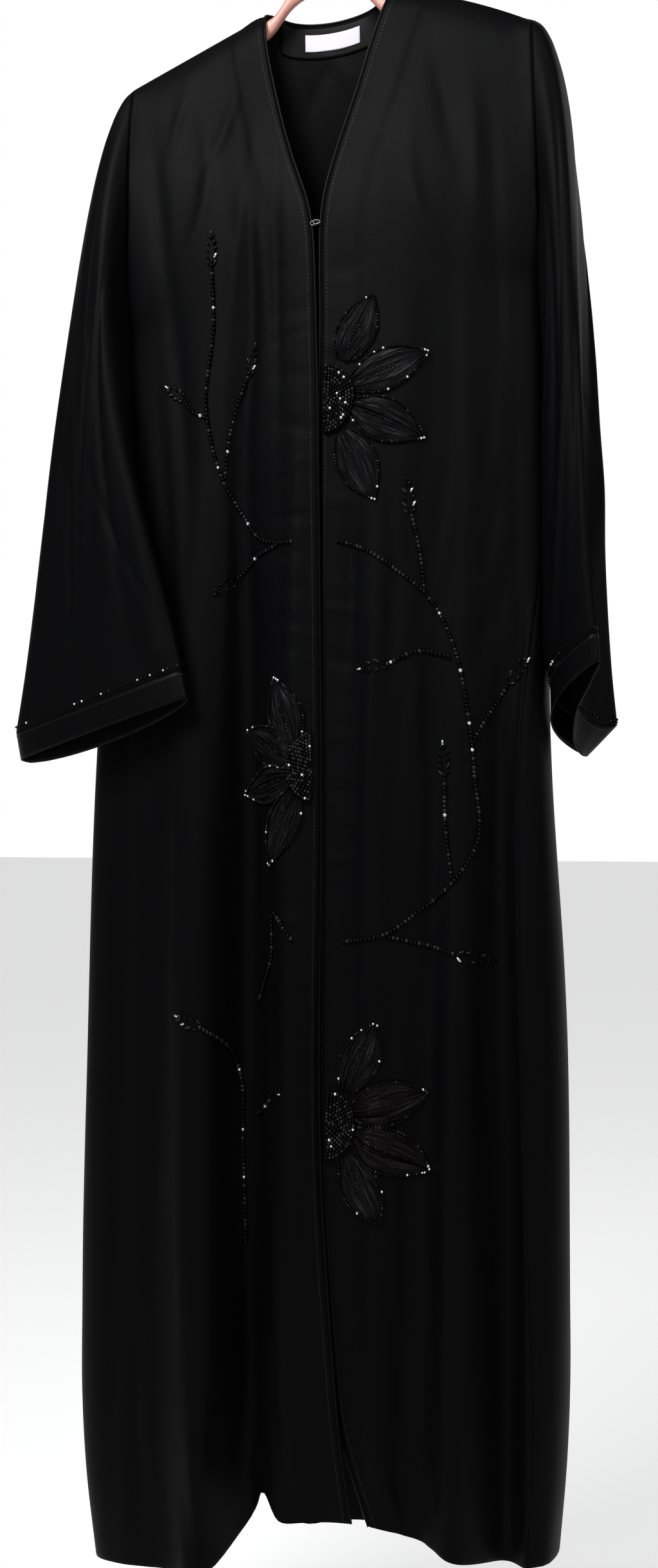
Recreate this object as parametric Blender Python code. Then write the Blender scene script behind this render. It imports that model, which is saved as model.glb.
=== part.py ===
# Abaya cloak: a full-length open-front black cloak on its clothes hanger.
# Metres, +Z up. The origin is where a rail carries the hanger's hook.
# The front faces -Y, and the wearer's right is at -X.
# Sizes are set out from the neck point, the inner end of the shoulder seam.

import math

import bpy
import numpy as np

# The rail carries the hook this far above the neck points.
NECK_BELOW_RAIL = 0.0948
# The hanger hangs a little lower on the wearer's right.
HANGER_TILT = math.radians(4.4)

WALL = 0.0015
SEAM_GAP = 0.0006
UNDERARM_GAP = 0.0025

NECK_HALF = 0.064
TIP_HALF = 0.1965
SHOULDER_DROP = 0.049
LEFT_SHOULDER_ROUNDNESS = 1.45
RIDGE_RADIUS = 0.0085
BACK_NECK_DROP = 0.0117
BACK_NECK_STAND = 0.010
UNDERARM = 0.29
ARMHOLE_HALF_OPEN = 0.022
SIDE_ROUNDNESS = 0.6
SIDE_HEM = 1.478
EDGE_HEM = 1.427

# Where the rows of a panel lie on its centre line, down to the underarm.
CENTRE_ROWS = (0, 0.0035, 0.0105, 0.025, 0.05, 0.085, 0.125, 0.165, 0.195, 0.2186, UNDERARM)
ARMHOLE_STEPS = len(CENTRE_ROWS) - 1
SKIRT_STEPS = 15
FRONT_STEPS = 18
EVEN_COLUMNS = (0.11, 0.25)
BACK_SIDE_STEPS = 8
BACK_NECK_STEPS = 5


def table(names, *rows):
    """A table with named columns, and a row for each section or fold."""
    return dict(zip(names.split(), np.array(rows, float).T))


# Half widths at the sides, and how far the cloth stands out in front and behind.
BODY = table(
    "down right_half left_half front back",
    (0.00, 0.1965, 0.1965, 0.000, 0.000),
    (0.10, 0.1965, 0.2010, 0.014, 0.014),
    (0.20, 0.1970, 0.2060, 0.034, 0.026),
    (0.29, 0.1970, 0.2080, 0.040, 0.034),
    (0.36, 0.2050, 0.2110, 0.043, 0.037),
    (0.46, 0.2140, 0.2130, 0.046, 0.040),
    (0.70, 0.2320, 0.2120, 0.051, 0.046),
    (1.00, 0.2415, 0.2280, 0.056, 0.052),
    (1.20, 0.2455, 0.2300, 0.060, 0.057),
    (1.38, 0.2425, 0.2285, 0.064, 0.062),
    (1.48, 0.2300, 0.2200, 0.066, 0.064),
)
# The left side seam swings to the front below the arm.
SEAM_SWING = table("down degrees", (0.29, 0), (0.42, 0), (0.70, 24), (1.50, 26))

# The open front's two edges: distance down, and distance to the side of the middle.
RIGHT_EDGE = table(
    "down x",
    (0.0000, -0.0640),
    (0.0275, -0.0607),
    (0.0670, -0.0523),
    (0.1020, -0.0430),
    (0.1400, -0.0320),
    (0.2186, -0.0045),
    (0.2700, -0.0020),
    (0.3500, 0.0015),
    (0.5000, 0.0050),
    (0.7500, 0.0090),
    (1.1500, 0.0125),
    (1.2500, 0.0200),
    (1.3500, 0.0290),
    (1.4300, 0.0420),
)
LEFT_EDGE = table(
    "down x",
    (0.0000, 0.0640),
    (0.0455, 0.0480),
    (0.0930, 0.0350),
    (0.1185, 0.0272),
    (0.1530, 0.0175),
    (0.2186, 0.0045),
    (0.2700, 0.0060),
    (0.3500, 0.0060),
    (0.5000, 0.0050),
    (0.7500, 0.0060),
    (1.1500, 0.0105),
    (1.2500, 0.0185),
    (1.3500, 0.0310),
    (1.4300, 0.0620),
)
LAP = 0.003
FRONT_HEM = table(
    "x down",
    (-0.230, 1.478),
    (-0.140, 1.476),
    (-0.100, 1.472),
    (-0.080, 1.464),
    (-0.060, 1.425),
    (-0.045, 1.402),
    (-0.036, 1.400),
    (-0.026, 1.424),
    (0.000, 1.427),
    (0.060, 1.430),
    (0.100, 1.446),
    (0.145, 1.465),
    (0.190, 1.478),
    (0.230, 1.478),
)
BACK_HEM = table(
    "x down",
    (-0.230, 1.478),
    (-0.125, 1.474),
    (-0.095, 1.448),
    (-0.070, 1.448),
    (-0.045, 1.474),
    (-0.020, 1.477),
    (0.020, 1.478),
    (0.230, 1.478),
)

# Folds hang straight. Out is how far the ridge stands out, and a valley's is negative.
FRONT_FOLDS = table(
    "top_x hem_x starts full out top_half hem_half",
    (-0.150, -0.100, 0.30, 1.00, 0.026, 0.022, 0.027),
    (-0.062, -0.070, 0.25, 1.00, -0.034, 0.013, 0.018),
    (-0.070, -0.074, 0.14, 0.30, -0.005, 0.010, 0.010),
    (-0.044, -0.046, 0.14, 0.30, -0.004, 0.008, 0.010),
    (-0.020, -0.018, 0.35, 1.00, 0.012, 0.014, 0.018),
    (0.062, 0.062, 0.25, 1.00, 0.012, 0.030, 0.034),
    (0.038, 0.036, 0.40, 0.60, -0.004, 0.009, 0.012),
    (0.082, 0.080, 0.45, 0.65, -0.004, 0.009, 0.012),
    (0.118, 0.106, 0.18, 0.50, -0.009, 0.014, 0.016),
    (0.135, 0.136, 0.75, 1.20, 0.018, 0.018, 0.022),
    (0.160, 0.178, 0.12, 0.90, -0.024, 0.014, 0.018),
    (0.190, 0.206, 0.50, 1.10, 0.006, 0.014, 0.016),
)
BACK_FOLDS = table(
    "top_x hem_x starts full out top_half hem_half",
    (-0.150, -0.165, 0.25, 1.10, -0.016, 0.016, 0.022),
    (-0.110, -0.115, 0.35, 1.20, 0.014, 0.018, 0.024),
    (-0.060, -0.062, 0.20, 1.00, -0.020, 0.015, 0.021),
    (0.000, 0.004, 0.10, 1.00, 0.012, 0.026, 0.032),
    (0.062, 0.070, 0.22, 1.10, -0.018, 0.015, 0.022),
    (0.118, 0.126, 0.40, 1.20, 0.014, 0.018, 0.022),
    (0.155, 0.172, 0.25, 1.00, -0.015, 0.014, 0.019),
)

# Each sleeve leaves the armhole and falls to its cuff seam.
SLEEVE_ROWS = 14
CUFF_HEIGHT = 0.027
# A cuff seen from above is a flat loop round a bent middle line.
RIGHT_CUFF = table(
    "seam_x seam_y hem_x hem_y hem_down",
    (-0.304, -0.042, -0.299, -0.042, 0.7014),
    (-0.208, -0.070, -0.205, -0.070, 0.6820),
    (-0.118, -0.088, -0.111, -0.090, 0.6600),
)
LEFT_CUFF = table(
    "seam_x seam_y hem_x hem_y hem_down",
    (0.266, -0.070, 0.268, -0.071, 0.661),
    (0.2270, -0.012, 0.2270, -0.012, 0.702),
    (0.270, 0.046, 0.242, 0.038, 0.740),
)
CUFF_HALF_OPEN = 0.010
CUFF_BACK_DROP = 0.012
# The share of the sleeve's way round at which the left cuff turns back.
LEFT_TURN = 0.75

BINDING_RADIUS = 0.0013
BINDING_GAP = 0.0004

FACING_HALF = 0.052
FACING_DEPTH = 0.030
FACING_WALL = 0.001
LABEL_HALF = 0.0275
LABEL_TOP = 0.019
LABEL_HEIGHT = 0.016
LABEL_WALL = 0.0008
CLASP_WIRE = 0.0006

PETAL_WALL = 0.001
# How far a flower's pieces stand off their front, more where it is folded.
PETAL_LIFT = {"1": 0.0023, "2": 0.0032, "3": 0.0036}
HEART_LIFT = {"1": 0.0026, "2": 0.0034, "3": 0.0030}
# Foot and tip of each petal on its front: across from the middle, and down.
PETALS = (
    ("petal_1_top", "left", table("x down half", (0.031, 0.350, 0.0170), (0.056, 0.297, 0))),
    ("petal_1_upper", "left", table("x down half", (0.044, 0.377, 0.0175), (0.108, 0.356, 0))),
    ("petal_1_lower", "left", table("x down half", (0.044, 0.403, 0.0175), (0.104, 0.436, 0))),
    ("petal_1_bottom", "left", table("x down half", (0.031, 0.430, 0.0170), (0.060, 0.490, 0))),
    ("petal_2_top", "right", table("x down half", (-0.017, 0.704, 0.0150), (-0.036, 0.646, 0))),
    ("petal_2_upper", "right", table("x down half", (-0.022, 0.722, 0.0150), (-0.072, 0.690, 0))),
    ("petal_2_lower", "right", table("x down half", (-0.022, 0.742, 0.0150), (-0.076, 0.752, 0))),
    ("petal_2_bottom", "right", table("x down half", (-0.017, 0.762, 0.0150), (-0.042, 0.822, 0))),
    ("petal_3_top", "left", table("x down half", (0.038, 1.028, 0.0170), (0.065, 0.972, 0))),
    ("petal_3_upper", "left", table("x down half", (0.050, 1.052, 0.0175), (0.110, 1.040, 0))),
    ("petal_3_lower", "left", table("x down half", (0.050, 1.078, 0.0175), (0.114, 1.112, 0))),
    ("petal_3_bottom", "left", table("x down half", (0.038, 1.102, 0.0170), (0.068, 1.156, 0))),
)
# Half discs at the flowers' hearts: the straight side's place, top, bottom and reach.
HEARTS = (
    ("heart_1", "left", 0.0095, 0.358, 0.422, 0.030),
    ("heart_2", "right", 0.0020, 0.700, 0.764, -0.022),
    ("heart_3", "left", 0.0150, 1.034, 1.096, 0.030),
)
HEART_WALL = 0.002

HANGER_HALF_THICK = 0.005
# The hanger's wooden bow from its middle to an end: under and upper sides, from the neck point.
HANGER = table(
    "x low high",
    (0.000, 0.0140, 0.0420),
    (0.012, 0.0130, 0.0400),
    (0.024, 0.0100, 0.0330),
    (0.038, 0.0025, 0.0200),
    (0.049, -0.0120, 0.0020),
)
# Farther out it follows the shoulder line, and its ends are rounded.
HANGER_ARM = table(
    "x height",
    (0.058, 0.0185),
    (0.080, 0.0220),
    (0.120, 0.0220),
    (0.160, 0.0200),
    (0.178, 0.0160),
    (0.184, 0.0100),
)
HANGER_BELOW_CLOTH = 0.0038
HOOK_WIRE = 0.0022
HOOK_RADIUS = 0.019
HOOK_CENTRE = NECK_BELOW_RAIL - HOOK_RADIUS + HOOK_WIRE


def along(at, places, values):
    """A smooth curve through the values of a table."""
    slopes = np.gradient(values, places)
    i = np.clip(np.searchsorted(places, at) - 1, 0, len(places) - 2)
    step = places[i + 1] - places[i]
    t = np.clip((at - places[i]) / step, 0, 1)
    return (
        values[i] * (1 + 2 * t) * (1 - t) ** 2
        + values[i + 1] * t * t * (3 - 2 * t)
        + step * (slopes[i] * t * (1 - t) ** 2 - slopes[i + 1] * t * t * (1 - t))
    )


def ease(value, start, end):
    """0 before the start, 1 after the end, and smooth between them."""
    share = np.clip((value - start) / (end - start), 0, 1)
    return share * share * (3 - 2 * share)


def shoulder(x):
    """How far the shoulder line lies below the neck point. The raised left one is rounder."""
    share = np.clip((np.abs(x) - NECK_HALF) / (TIP_HALF - NECK_HALF), 0, 1)
    return SHOULDER_DROP * share ** np.where(x > 0, LEFT_SHOULDER_ROUNDNESS, 1)


def ridge(below):
    """How far the cloth stands out, this far below the rounded shoulder line."""
    share = np.clip(1 - below / RIDGE_RADIUS, 0, 1)
    return RIDGE_RADIUS * np.sqrt(1 - share * share)


def folds(rows, x, down):
    out = 0
    for top_x, hem_x, starts, full, height, top_half, hem_half in zip(*rows.values()):
        share = np.clip(down / SIDE_HEM, 0, 1)
        middle = top_x + (hem_x - top_x) * share
        half = top_half + (hem_half - top_half) * share
        out = out + height * ease(down, starts, full) * np.exp(-(((x - middle) / half) ** 2))
    return out


def stand_out(angle, behind, x, down, armhole):
    """The body's depth at an angle round it: 0 is the middle of the front, 180 of the back."""
    front = np.abs(np.cos(angle))
    below = down - shoulder(x)
    reach = np.where(
        behind, along(below, BODY["down"], BODY["back"]), along(below, BODY["down"], BODY["front"])
    )
    reach = (reach + ridge(below) - armhole) * front**SIDE_ROUNDNESS
    fold = np.where(behind, folds(BACK_FOLDS, x, down), folds(FRONT_FOLDS, x, down))
    y = armhole + reach + fold * front**0.3
    neck = BACK_NECK_STAND * np.clip(1 - (x / NECK_HALF) ** 2, 0, 1) * np.exp(-down / 0.06)
    return np.where(behind, y + neck, -y)


def rows_of_panel():
    """For each row: its place at the side, the armhole's half width and its share of the skirt."""
    middle = (SHOULDER_DROP + UNDERARM) / 2
    half = (UNDERARM - SHOULDER_DROP) / 2
    for i in range(ARMHOLE_STEPS + 1):
        turn = math.pi * i / ARMHOLE_STEPS
        yield middle - half * math.cos(turn), ARMHOLE_HALF_OPEN * math.sin(turn), CENTRE_ROWS[i] / UNDERARM, 0
    for i in range(1, SKIRT_STEPS + 1):
        share = i / SKIRT_STEPS
        yield UNDERARM + (SIDE_HEM - UNDERARM) * share, 0, 1, share


def row_depths(x, top, hem, side_share, centre_share, side_down, skirt):
    """How far down each point of a row lies."""
    if skirt:
        return UNDERARM + (hem - UNDERARM) * skirt
    at_side = (side_down - SHOULDER_DROP) / (UNDERARM - SHOULDER_DROP)
    return top + (UNDERARM - top) * (centre_share + (at_side - centre_share) * side_share)


def front_panel(side, steps=FRONT_STEPS):
    """The grid of one front, from its open edge to its armhole and side seam."""
    sign = 1 if side == "left" else -1
    edge = LEFT_EDGE if side == "left" else RIGHT_EDGE
    grid = []
    for side_down, armhole, centre_share, skirt in rows_of_panel():
        half = along(side_down, BODY["down"], BODY[side + "_half"])
        edge_down = UNDERARM * centre_share + (EDGE_HEM - UNDERARM) * skirt
        edge_x = along(edge_down, edge["down"], edge["x"])
        swing = math.radians(along(side_down, SEAM_SWING["down"], SEAM_SWING["degrees"]))
        last = math.pi / 2 - (swing if side == "left" else 0)
        angle = sign * np.linspace(math.asin(sign * edge_x / half), last, steps + 1)
        x = half * np.sin(angle)
        x += (np.linspace(x[0], x[-1], steps + 1) - x) * (1 - ease(side_down, *EVEN_COLUMNS))
        angle = np.arcsin(np.clip(x / half, -1, 1))
        side_share = (x - x[0]) / (x[-1] - x[0])
        hem = along(x, FRONT_HEM["x"], FRONT_HEM["down"])
        down = row_depths(x, shoulder(x), hem, side_share, centre_share, side_down, skirt)
        lap = LAP * sign * np.exp(-(((x - x[0]) / 0.03) ** 2)) * ease(down, 0.22, 0.5)
        y = stand_out(angle, False, x, down, armhole) + lap
        grid.append(np.stack([x, y, -down], axis=-1))
    return np.array(grid)


def back_panel():
    """The grid of the back, from the left side round to the right."""
    neck = math.asin(NECK_HALF / TIP_HALF)
    grid = []
    for side_down, armhole, centre_share, skirt in rows_of_panel():
        swing = math.radians(along(side_down, SEAM_SWING["down"], SEAM_SWING["degrees"]))
        left, right = math.pi - neck, math.pi + neck
        angle = np.concatenate([
            np.linspace(math.pi / 2 - swing, left, BACK_SIDE_STEPS + 1)[:-1],
            np.linspace(left, right, BACK_NECK_STEPS + 1)[:-1],
            np.linspace(right, 1.5 * math.pi, BACK_SIDE_STEPS + 1),
        ])
        halves = [along(side_down, BODY["down"], BODY[side + "_half"]) for side in ("left", "right")]
        x = np.where(np.sin(angle) > 0, halves[0], halves[1]) * np.sin(angle)
        neckline = BACK_NECK_DROP * np.clip(1 - (x / NECK_HALF) ** 2, 0, 1)
        behind = (np.cos(angle) < 1e-9) | (armhole > 1e-9)
        hem = np.where(
            behind,
            along(x, BACK_HEM["x"], BACK_HEM["down"]),
            along(x, FRONT_HEM["x"], FRONT_HEM["down"]),
        )
        side_share = np.sin(angle) ** 2
        side_share[0] = side_share[-1] = 1
        down = row_depths(x, shoulder(x) + neckline, hem, side_share, centre_share, side_down, skirt)
        grid.append(np.stack([x, stand_out(angle, behind, x, down, armhole), -down], axis=-1))
    return np.array(grid)


def cuff_loop(side, steps, above_hem):
    """A closed ring of the cuff, from under the shoulder tip and round by the front."""
    cuff = LEFT_CUFF if side == "left" else RIGHT_CUFF
    way = np.arange(steps) / steps
    if side == "left":
        turn = math.pi * np.where(way < LEFT_TURN, way / LEFT_TURN, 1 + (way - LEFT_TURN) / (1 - LEFT_TURN))
    else:
        turn = 2 * math.pi * way
    t = (1 - np.cos(turn)) / 2
    share = above_hem / CUFF_HEIGHT
    places = [
        cuff["seam_" + axis] * share + cuff["hem_" + axis] * (1 - share) for axis in ("x", "y")
    ]
    first, middle, last = np.array([*places, cuff["hem_down"]]).T
    control = 2 * middle - (first + last) / 2
    line = (
        np.outer((1 - t) ** 2, first) + np.outer(2 * t * (1 - t), control) + np.outer(t * t, last)
    )
    run = np.outer(1 - t, control - first) + np.outer(t, last - control)
    length = np.hypot(run[:, 0], run[:, 1])
    # The front half of the loop bulges to the left of the way along its middle line, seen from above.
    sign = 1 if side == "right" else -1
    off = sign * CUFF_HALF_OPEN * np.sin(turn)
    x = line[:, 0] + off * run[:, 1] / length
    y = line[:, 1] - off * run[:, 0] / length
    down = line[:, 2] - above_hem + CUFF_BACK_DROP * np.clip(-np.sin(turn), 0, 1)
    return np.stack([x, y, -down], axis=-1)


def sleeve_panel(side, front, back):
    """The closed rings of a sleeve, from its armhole to its cuff seam."""
    sign = 1 if side == "left" else -1
    front_seam = front[: ARMHOLE_STEPS + 1, -1]
    back_seam = back[: ARMHOLE_STEPS + 1, 0 if side == "left" else -1]
    start = np.concatenate([front_seam, back_seam[-2:0:-1]])
    end = cuff_loop(side, len(start), CUFF_HEIGHT)
    turn = 2 * math.pi * np.arange(len(start)) / len(start)
    # From above, the cloth sets out sideways, and lower down it also swings to the front.
    low = (1 - np.cos(turn)) / 2
    ahead = np.sin(turn)
    fall = np.abs(end[:, 2] - start[:, 2])
    swing = -0.26 if side == "right" else -0.03
    bulge = (0.035 if side == "left" else 0.05) * (1 - low) ** 2
    bulge = bulge + (0.10 * np.clip(-ahead, 0, 1) if side == "left" else 0)
    leave = np.stack([
        sign * (0.12 - 0.07 * low + bulge),
        -0.05 * ahead + swing * low,
        (0.35 * (1 - low) ** 2 - 0.45) * fall,
    ], axis=-1)
    arrive = np.stack([
        1.0 * (end[:, 0] - start[:, 0]),
        0.5 * (end[:, 1] - start[:, 1]),
        -fall,
    ], axis=-1)
    rings = []
    for t in np.linspace(0, 1, SLEEVE_ROWS + 1) ** 1.15:
        rings.append(
            start * (1 + 2 * t) * (1 - t) ** 2
            + end * t * t * (3 - 2 * t)
            + leave * t * (1 - t) ** 2
            - arrive * t * t * (1 - t)
        )
    return np.array(rings)


def cuff_panel(side):
    steps = 2 * ARMHOLE_STEPS
    return np.array([cuff_loop(side, steps, CUFF_HEIGHT * (1 - share)) for share in (0, 0.5, 1)])


def face_normals(grid, closed):
    """Each point's share of its cells' normals, unscaled."""
    ring = np.concatenate([grid, grid[:, :1]], axis=1) if closed else grid
    cell = np.cross(ring[1:, :-1] - ring[:-1, 1:], ring[1:, 1:] - ring[:-1, :-1])
    total = np.zeros_like(ring)
    for rows in (slice(None, -1), slice(1, None)):
        for columns in (slice(None, -1), slice(1, None)):
            total[rows, columns] += cell
    if closed:
        total[:, 0] += total[:, -1]
        total = total[:, :-1]
    return total


def share_normals(pieces):
    """Normals for every grid, the same on both sides of a seam, so that the rims run parallel."""
    sums = {}
    parts = {}
    for name, (grid, closed, sign) in pieces.items():
        parts[name] = sign * face_normals(grid, closed)
        for place, normal in zip(np.round(grid * 1e6).reshape(-1, 3), parts[name].reshape(-1, 3)):
            sums[tuple(place)] = sums.get(tuple(place), 0) + normal
    shared = {}
    for name, (grid, _, _) in pieces.items():
        flat = np.array([sums[tuple(place)] for place in np.round(grid * 1e6).reshape(-1, 3)])
        normals = flat.reshape(grid.shape)
        if name in ("front_left", "front_right", "back"):
            on_shoulder = np.abs(grid[0, :, 0]) >= NECK_HALF - 1e-6
            normals[0, on_shoulder, 1] = 0
        shared[name] = normals / np.linalg.norm(normals, axis=-1, keepdims=True)
    return shared


def inset(grid, top=False, bottom=False, first=False, last=False, more=0):
    """The grid with these borders drawn in by half a seam gap, or more where they meet sharply."""
    grid = grid.copy()
    borders = (
        (top, np.s_[0], np.s_[1]),
        (bottom, np.s_[-1], np.s_[-2]),
        (first, np.s_[:, 0], np.s_[:, 1]),
        (last, np.s_[:, -1], np.s_[:, -2]),
    )
    for wanted, border, inner in borders:
        if wanted:
            way = grid[inner] - grid[border]
            way /= np.linalg.norm(way, axis=-1, keepdims=True)
            grid[border] += way * (SEAM_GAP / 2 + (more if border == 0 else 0))
    return grid


def hung(points):
    """From the garment's own frame to the part's, on the tilted hanger."""
    points = np.array(points, float)
    points[..., 2] += points[..., 0] * math.tan(HANGER_TILT) - NECK_BELOW_RAIL
    return points


def material(name, colour, roughness, metallic=0.0):
    made = bpy.data.materials.new(name)
    made.use_nodes = True
    shader = made.node_tree.nodes["Principled BSDF"]
    shader.inputs["Base Color"].default_value = (*colour, 1)
    shader.inputs["Roughness"].default_value = roughness
    shader.inputs["Metallic"].default_value = metallic
    made.diffuse_color = (*colour, 1)
    return made


def add(name, points, faces, look):
    mesh = bpy.data.meshes.new(name)
    mesh.from_pydata(hung(points).reshape(-1, 3).tolist(), [], faces)
    mesh.validate()
    mesh.materials.append(look)
    piece = bpy.data.objects.new(name, mesh)
    bpy.data.collections[OBJECT].objects.link(piece)
    return piece


def wall(name, grid, normals, thickness, look, closed=False, sign=1):
    """A closed wall round a grid: two skins joined along the grid's borders."""
    rows, columns = grid.shape[:2]
    outer = grid + normals * thickness / 2
    inner = grid - normals * thickness / 2
    size = rows * columns
    spans = columns if closed else columns - 1
    faces = []
    for i in range(rows - 1):
        for j in range(spans):
            k = (j + 1) % columns
            cell = [i * columns + j, (i + 1) * columns + j, (i + 1) * columns + k, i * columns + k]
            faces.append(cell)
            faces.append([size + corner for corner in cell[:1] + cell[:0:-1]])
    borders = [[(0, j) for j in range(columns)], [(rows - 1, j) for j in reversed(range(columns))]]
    if closed:
        borders = [border + border[:1] for border in borders]
    else:
        borders += [
            [(i, columns - 1) for i in range(rows)],
            [(i, 0) for i in reversed(range(rows))],
        ]
    for border in borders:
        corners = [i * columns + j for i, j in border]
        for a, b in zip(corners, corners[1:]):
            faces.append([a, b, size + b, size + a])
    if sign < 0:
        faces = [face[::-1] for face in faces]
    return add(name, np.concatenate([outer.reshape(-1, 3), inner.reshape(-1, 3)]), faces, look)


def wire(name, path, radius, look, sides=2):
    """A round wire or piping with closed ends."""
    curve = bpy.data.curves.new(name, "CURVE")
    curve.dimensions = "3D"
    curve.bevel_depth = radius
    curve.bevel_resolution = sides
    curve.use_fill_caps = True
    spline = curve.splines.new("POLY")
    spline.points.add(len(path) - 1)
    for point, place in zip(spline.points, hung(path)):
        point.co = (*place, 1)
    curve.materials.append(look)
    piece = bpy.data.objects.new(name, curve)
    bpy.data.collections[OBJECT].objects.link(piece)
    return piece


def place_on(grid, normals, x, down):
    """The point and normal of a front panel's grid at a place across and down."""
    rows, columns = grid.shape[:2]
    order = 1 if grid[-1, -1, 0] > grid[-1, 0, 0] else -1
    column_at = [np.interp(order * x, order * row[:, 0], np.arange(columns)) for row in grid]
    down_at = [np.interp(c, np.arange(columns), -row[:, 2]) for c, row in zip(column_at, grid)]
    v = np.interp(down, down_at, np.arange(rows))
    u = np.interp(v, np.arange(rows), column_at)
    i, j = min(int(v), rows - 2), min(int(u), columns - 2)
    s, t = v - i, u - j
    weights = ((1 - s) * (1 - t), (1 - s) * t, s * (1 - t), s * t)
    cells = ((i, j), (i, j + 1), (i + 1, j), (i + 1, j + 1))
    return [sum(w * of[cell] for w, cell in zip(weights, cells)) for of in (grid, normals)]


def patch(name, front, places, lift, thickness, look, sign):
    """A thin piece that lies on a front, made from the front's own points, moved out."""
    grid, normals = front
    found = [[place_on(grid, normals, x, down) for x, down in row] for row in places]
    points = np.array([[point + lift * normal for point, normal in row] for row in found])
    out = np.array([[normal for _, normal in row] for row in found])
    return wall(name, points, out / np.linalg.norm(out, axis=-1, keepdims=True), thickness, look, sign=sign)


def petal_places(petal, length_steps=5, width_steps=4):
    """Rows of places over a petal, narrow at its foot, full in the middle and round at the tip."""
    foot, tip = (np.array([petal["x"][i], petal["down"][i]]) for i in (0, 1))
    way = tip - foot
    across = np.array([way[1], -way[0]]) / np.hypot(*way)
    rows = []
    for t in np.linspace(0, 1, length_steps + 1):
        half = petal["half"][0] * max(math.sin(math.pi * (0.12 + 0.88 * t)) ** 0.75, 0.12)
        rows.append([foot + way * t + across * half * s for s in np.linspace(-1, 1, width_steps + 1)])
    return rows


def heart_places(x, top, bottom, reach, length_steps=6, width_steps=3):
    rows = []
    for t in np.linspace(0, 1, length_steps + 1):
        half = abs(reach) * max(math.sin(math.pi * t) ** 0.6, 0.15)
        down = top + (bottom - top) * t
        rows.append([(x + math.copysign(half * s, reach), down) for s in np.linspace(0, 1, width_steps + 1)])
    return rows


def binding_path(grid, normals, column, inner):
    """The piping's middle line, just outside a panel's edge."""
    way = grid[:, column] - grid[:, inner]
    way /= np.linalg.norm(way, axis=-1, keepdims=True)
    return grid[:, column] + way * (BINDING_RADIUS + BINDING_GAP)


def neck_inside(back, normals, x, down):
    """The inner face of the back near the neck, from the back panel's own points."""
    columns = slice(BACK_SIDE_STEPS, BACK_SIDE_STEPS + BACK_NECK_STEPS + 1)
    return place_on(back[:, columns], normals[:, columns], x, down)


def inside_patch(name, back, normals, half, top, height, lift, thickness, look):
    rows = []
    for t in np.linspace(0, 1, 7) ** 1.5:
        row = []
        for x in np.linspace(half, -half, 11):
            neckline = BACK_NECK_DROP * (1 - (x / NECK_HALF) ** 2)
            row.append((x, (neckline + 0.003 if top is None else top) + height * t))
        rows.append(row)
    found = [[neck_inside(back, normals, x, down) for x, down in row] for row in rows]
    points = np.array([[point - lift * normal for point, normal in row] for row in found])
    out = np.array([[normal for _, normal in row] for row in found])
    return wall(name, points, out / np.linalg.norm(out, axis=-1, keepdims=True), thickness, look)


def bow(name, look):
    """The hanger's bow, lofted through rounded sections."""
    xs, low, high = [], [], []
    for side in (-1, 1):
        arm = -shoulder(side * HANGER_ARM["x"]) - HANGER_BELOW_CLOTH - (0.022 - HANGER_ARM["height"]) / 4
        ends = [
            np.concatenate([side * HANGER["x"], side * HANGER_ARM["x"]]),
            np.concatenate([HANGER["low"], arm - HANGER_ARM["height"]]),
            np.concatenate([HANGER["high"], arm]),
        ]
        for found, values in zip((xs, low, high), ends):
            found.extend(values[:0:-1] if side < 0 else values)
    sides = 12
    points = []
    for x, bottom, top in zip(xs, low, high):
        end = min(1, 0.55 + 0.45 * (HANGER_ARM["x"][-1] - abs(x)) / 0.006)
        for k in range(sides):
            turn = 2 * math.pi * (k + 0.5) / sides
            y = math.copysign(abs(math.cos(turn)) ** 0.7, math.cos(turn)) * HANGER_HALF_THICK * end
            z = math.copysign(abs(math.sin(turn)) ** 0.8, math.sin(turn))
            points.append((x, y, (top + bottom) / 2 + z * (top - bottom) / 2))
    faces = [list(range(sides))[::-1], [(len(xs) - 1) * sides + k for k in range(sides)]]
    for i in range(len(xs) - 1):
        for k in range(sides):
            m = (k + 1) % sides
            faces.append([i * sides + k, i * sides + m, (i + 1) * sides + m, (i + 1) * sides + k])
    return add(name, points, faces, look)


def hook_path():
    """From the bow's top up a short stem and round the rail."""
    stem = HANGER["high"][0] + 0.0004
    path = [(0, 0, stem), (0, 0, stem + 0.006)]
    for degrees in range(-60, 206, 15):
        turn = math.radians(degrees)
        path.append((HOOK_RADIUS * math.cos(turn), 0, HOOK_CENTRE + HOOK_RADIUS * math.sin(turn)))
    return path


def clasp_path(start, reach, y, z):
    """A small wire loop that reaches across the opening."""
    path = [(start, y, z + 0.0018)]
    for degrees in range(90, -91, -30):
        turn = math.radians(degrees)
        path.append((start + reach * (0.6 + 0.4 * math.cos(turn)), y, z + 0.0018 * math.sin(turn)))
    path.append((start, y, z - 0.0018))
    return path


OBJECT = "abaya_cloak"
for old in list(bpy.data.objects):
    bpy.data.objects.remove(old)
bpy.context.scene.collection.children.link(bpy.data.collections.new(OBJECT))

crepe = material("black_crepe", (0.012, 0.012, 0.014), 0.6)
satin = material("black_satin", (0.016, 0.016, 0.020), 0.3)
organza = material("black_organza", (0.030, 0.030, 0.034), 0.4)
beadwork = material("bead_ground", (0.020, 0.020, 0.022), 0.35)
label_cloth = material("label_cloth", (0.80, 0.79, 0.84), 0.7)
painted = material("painted_wood", (0.75, 0.42, 0.34), 0.45)
steel = material("steel", (0.62, 0.62, 0.62), 0.25, 1.0)

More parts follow.
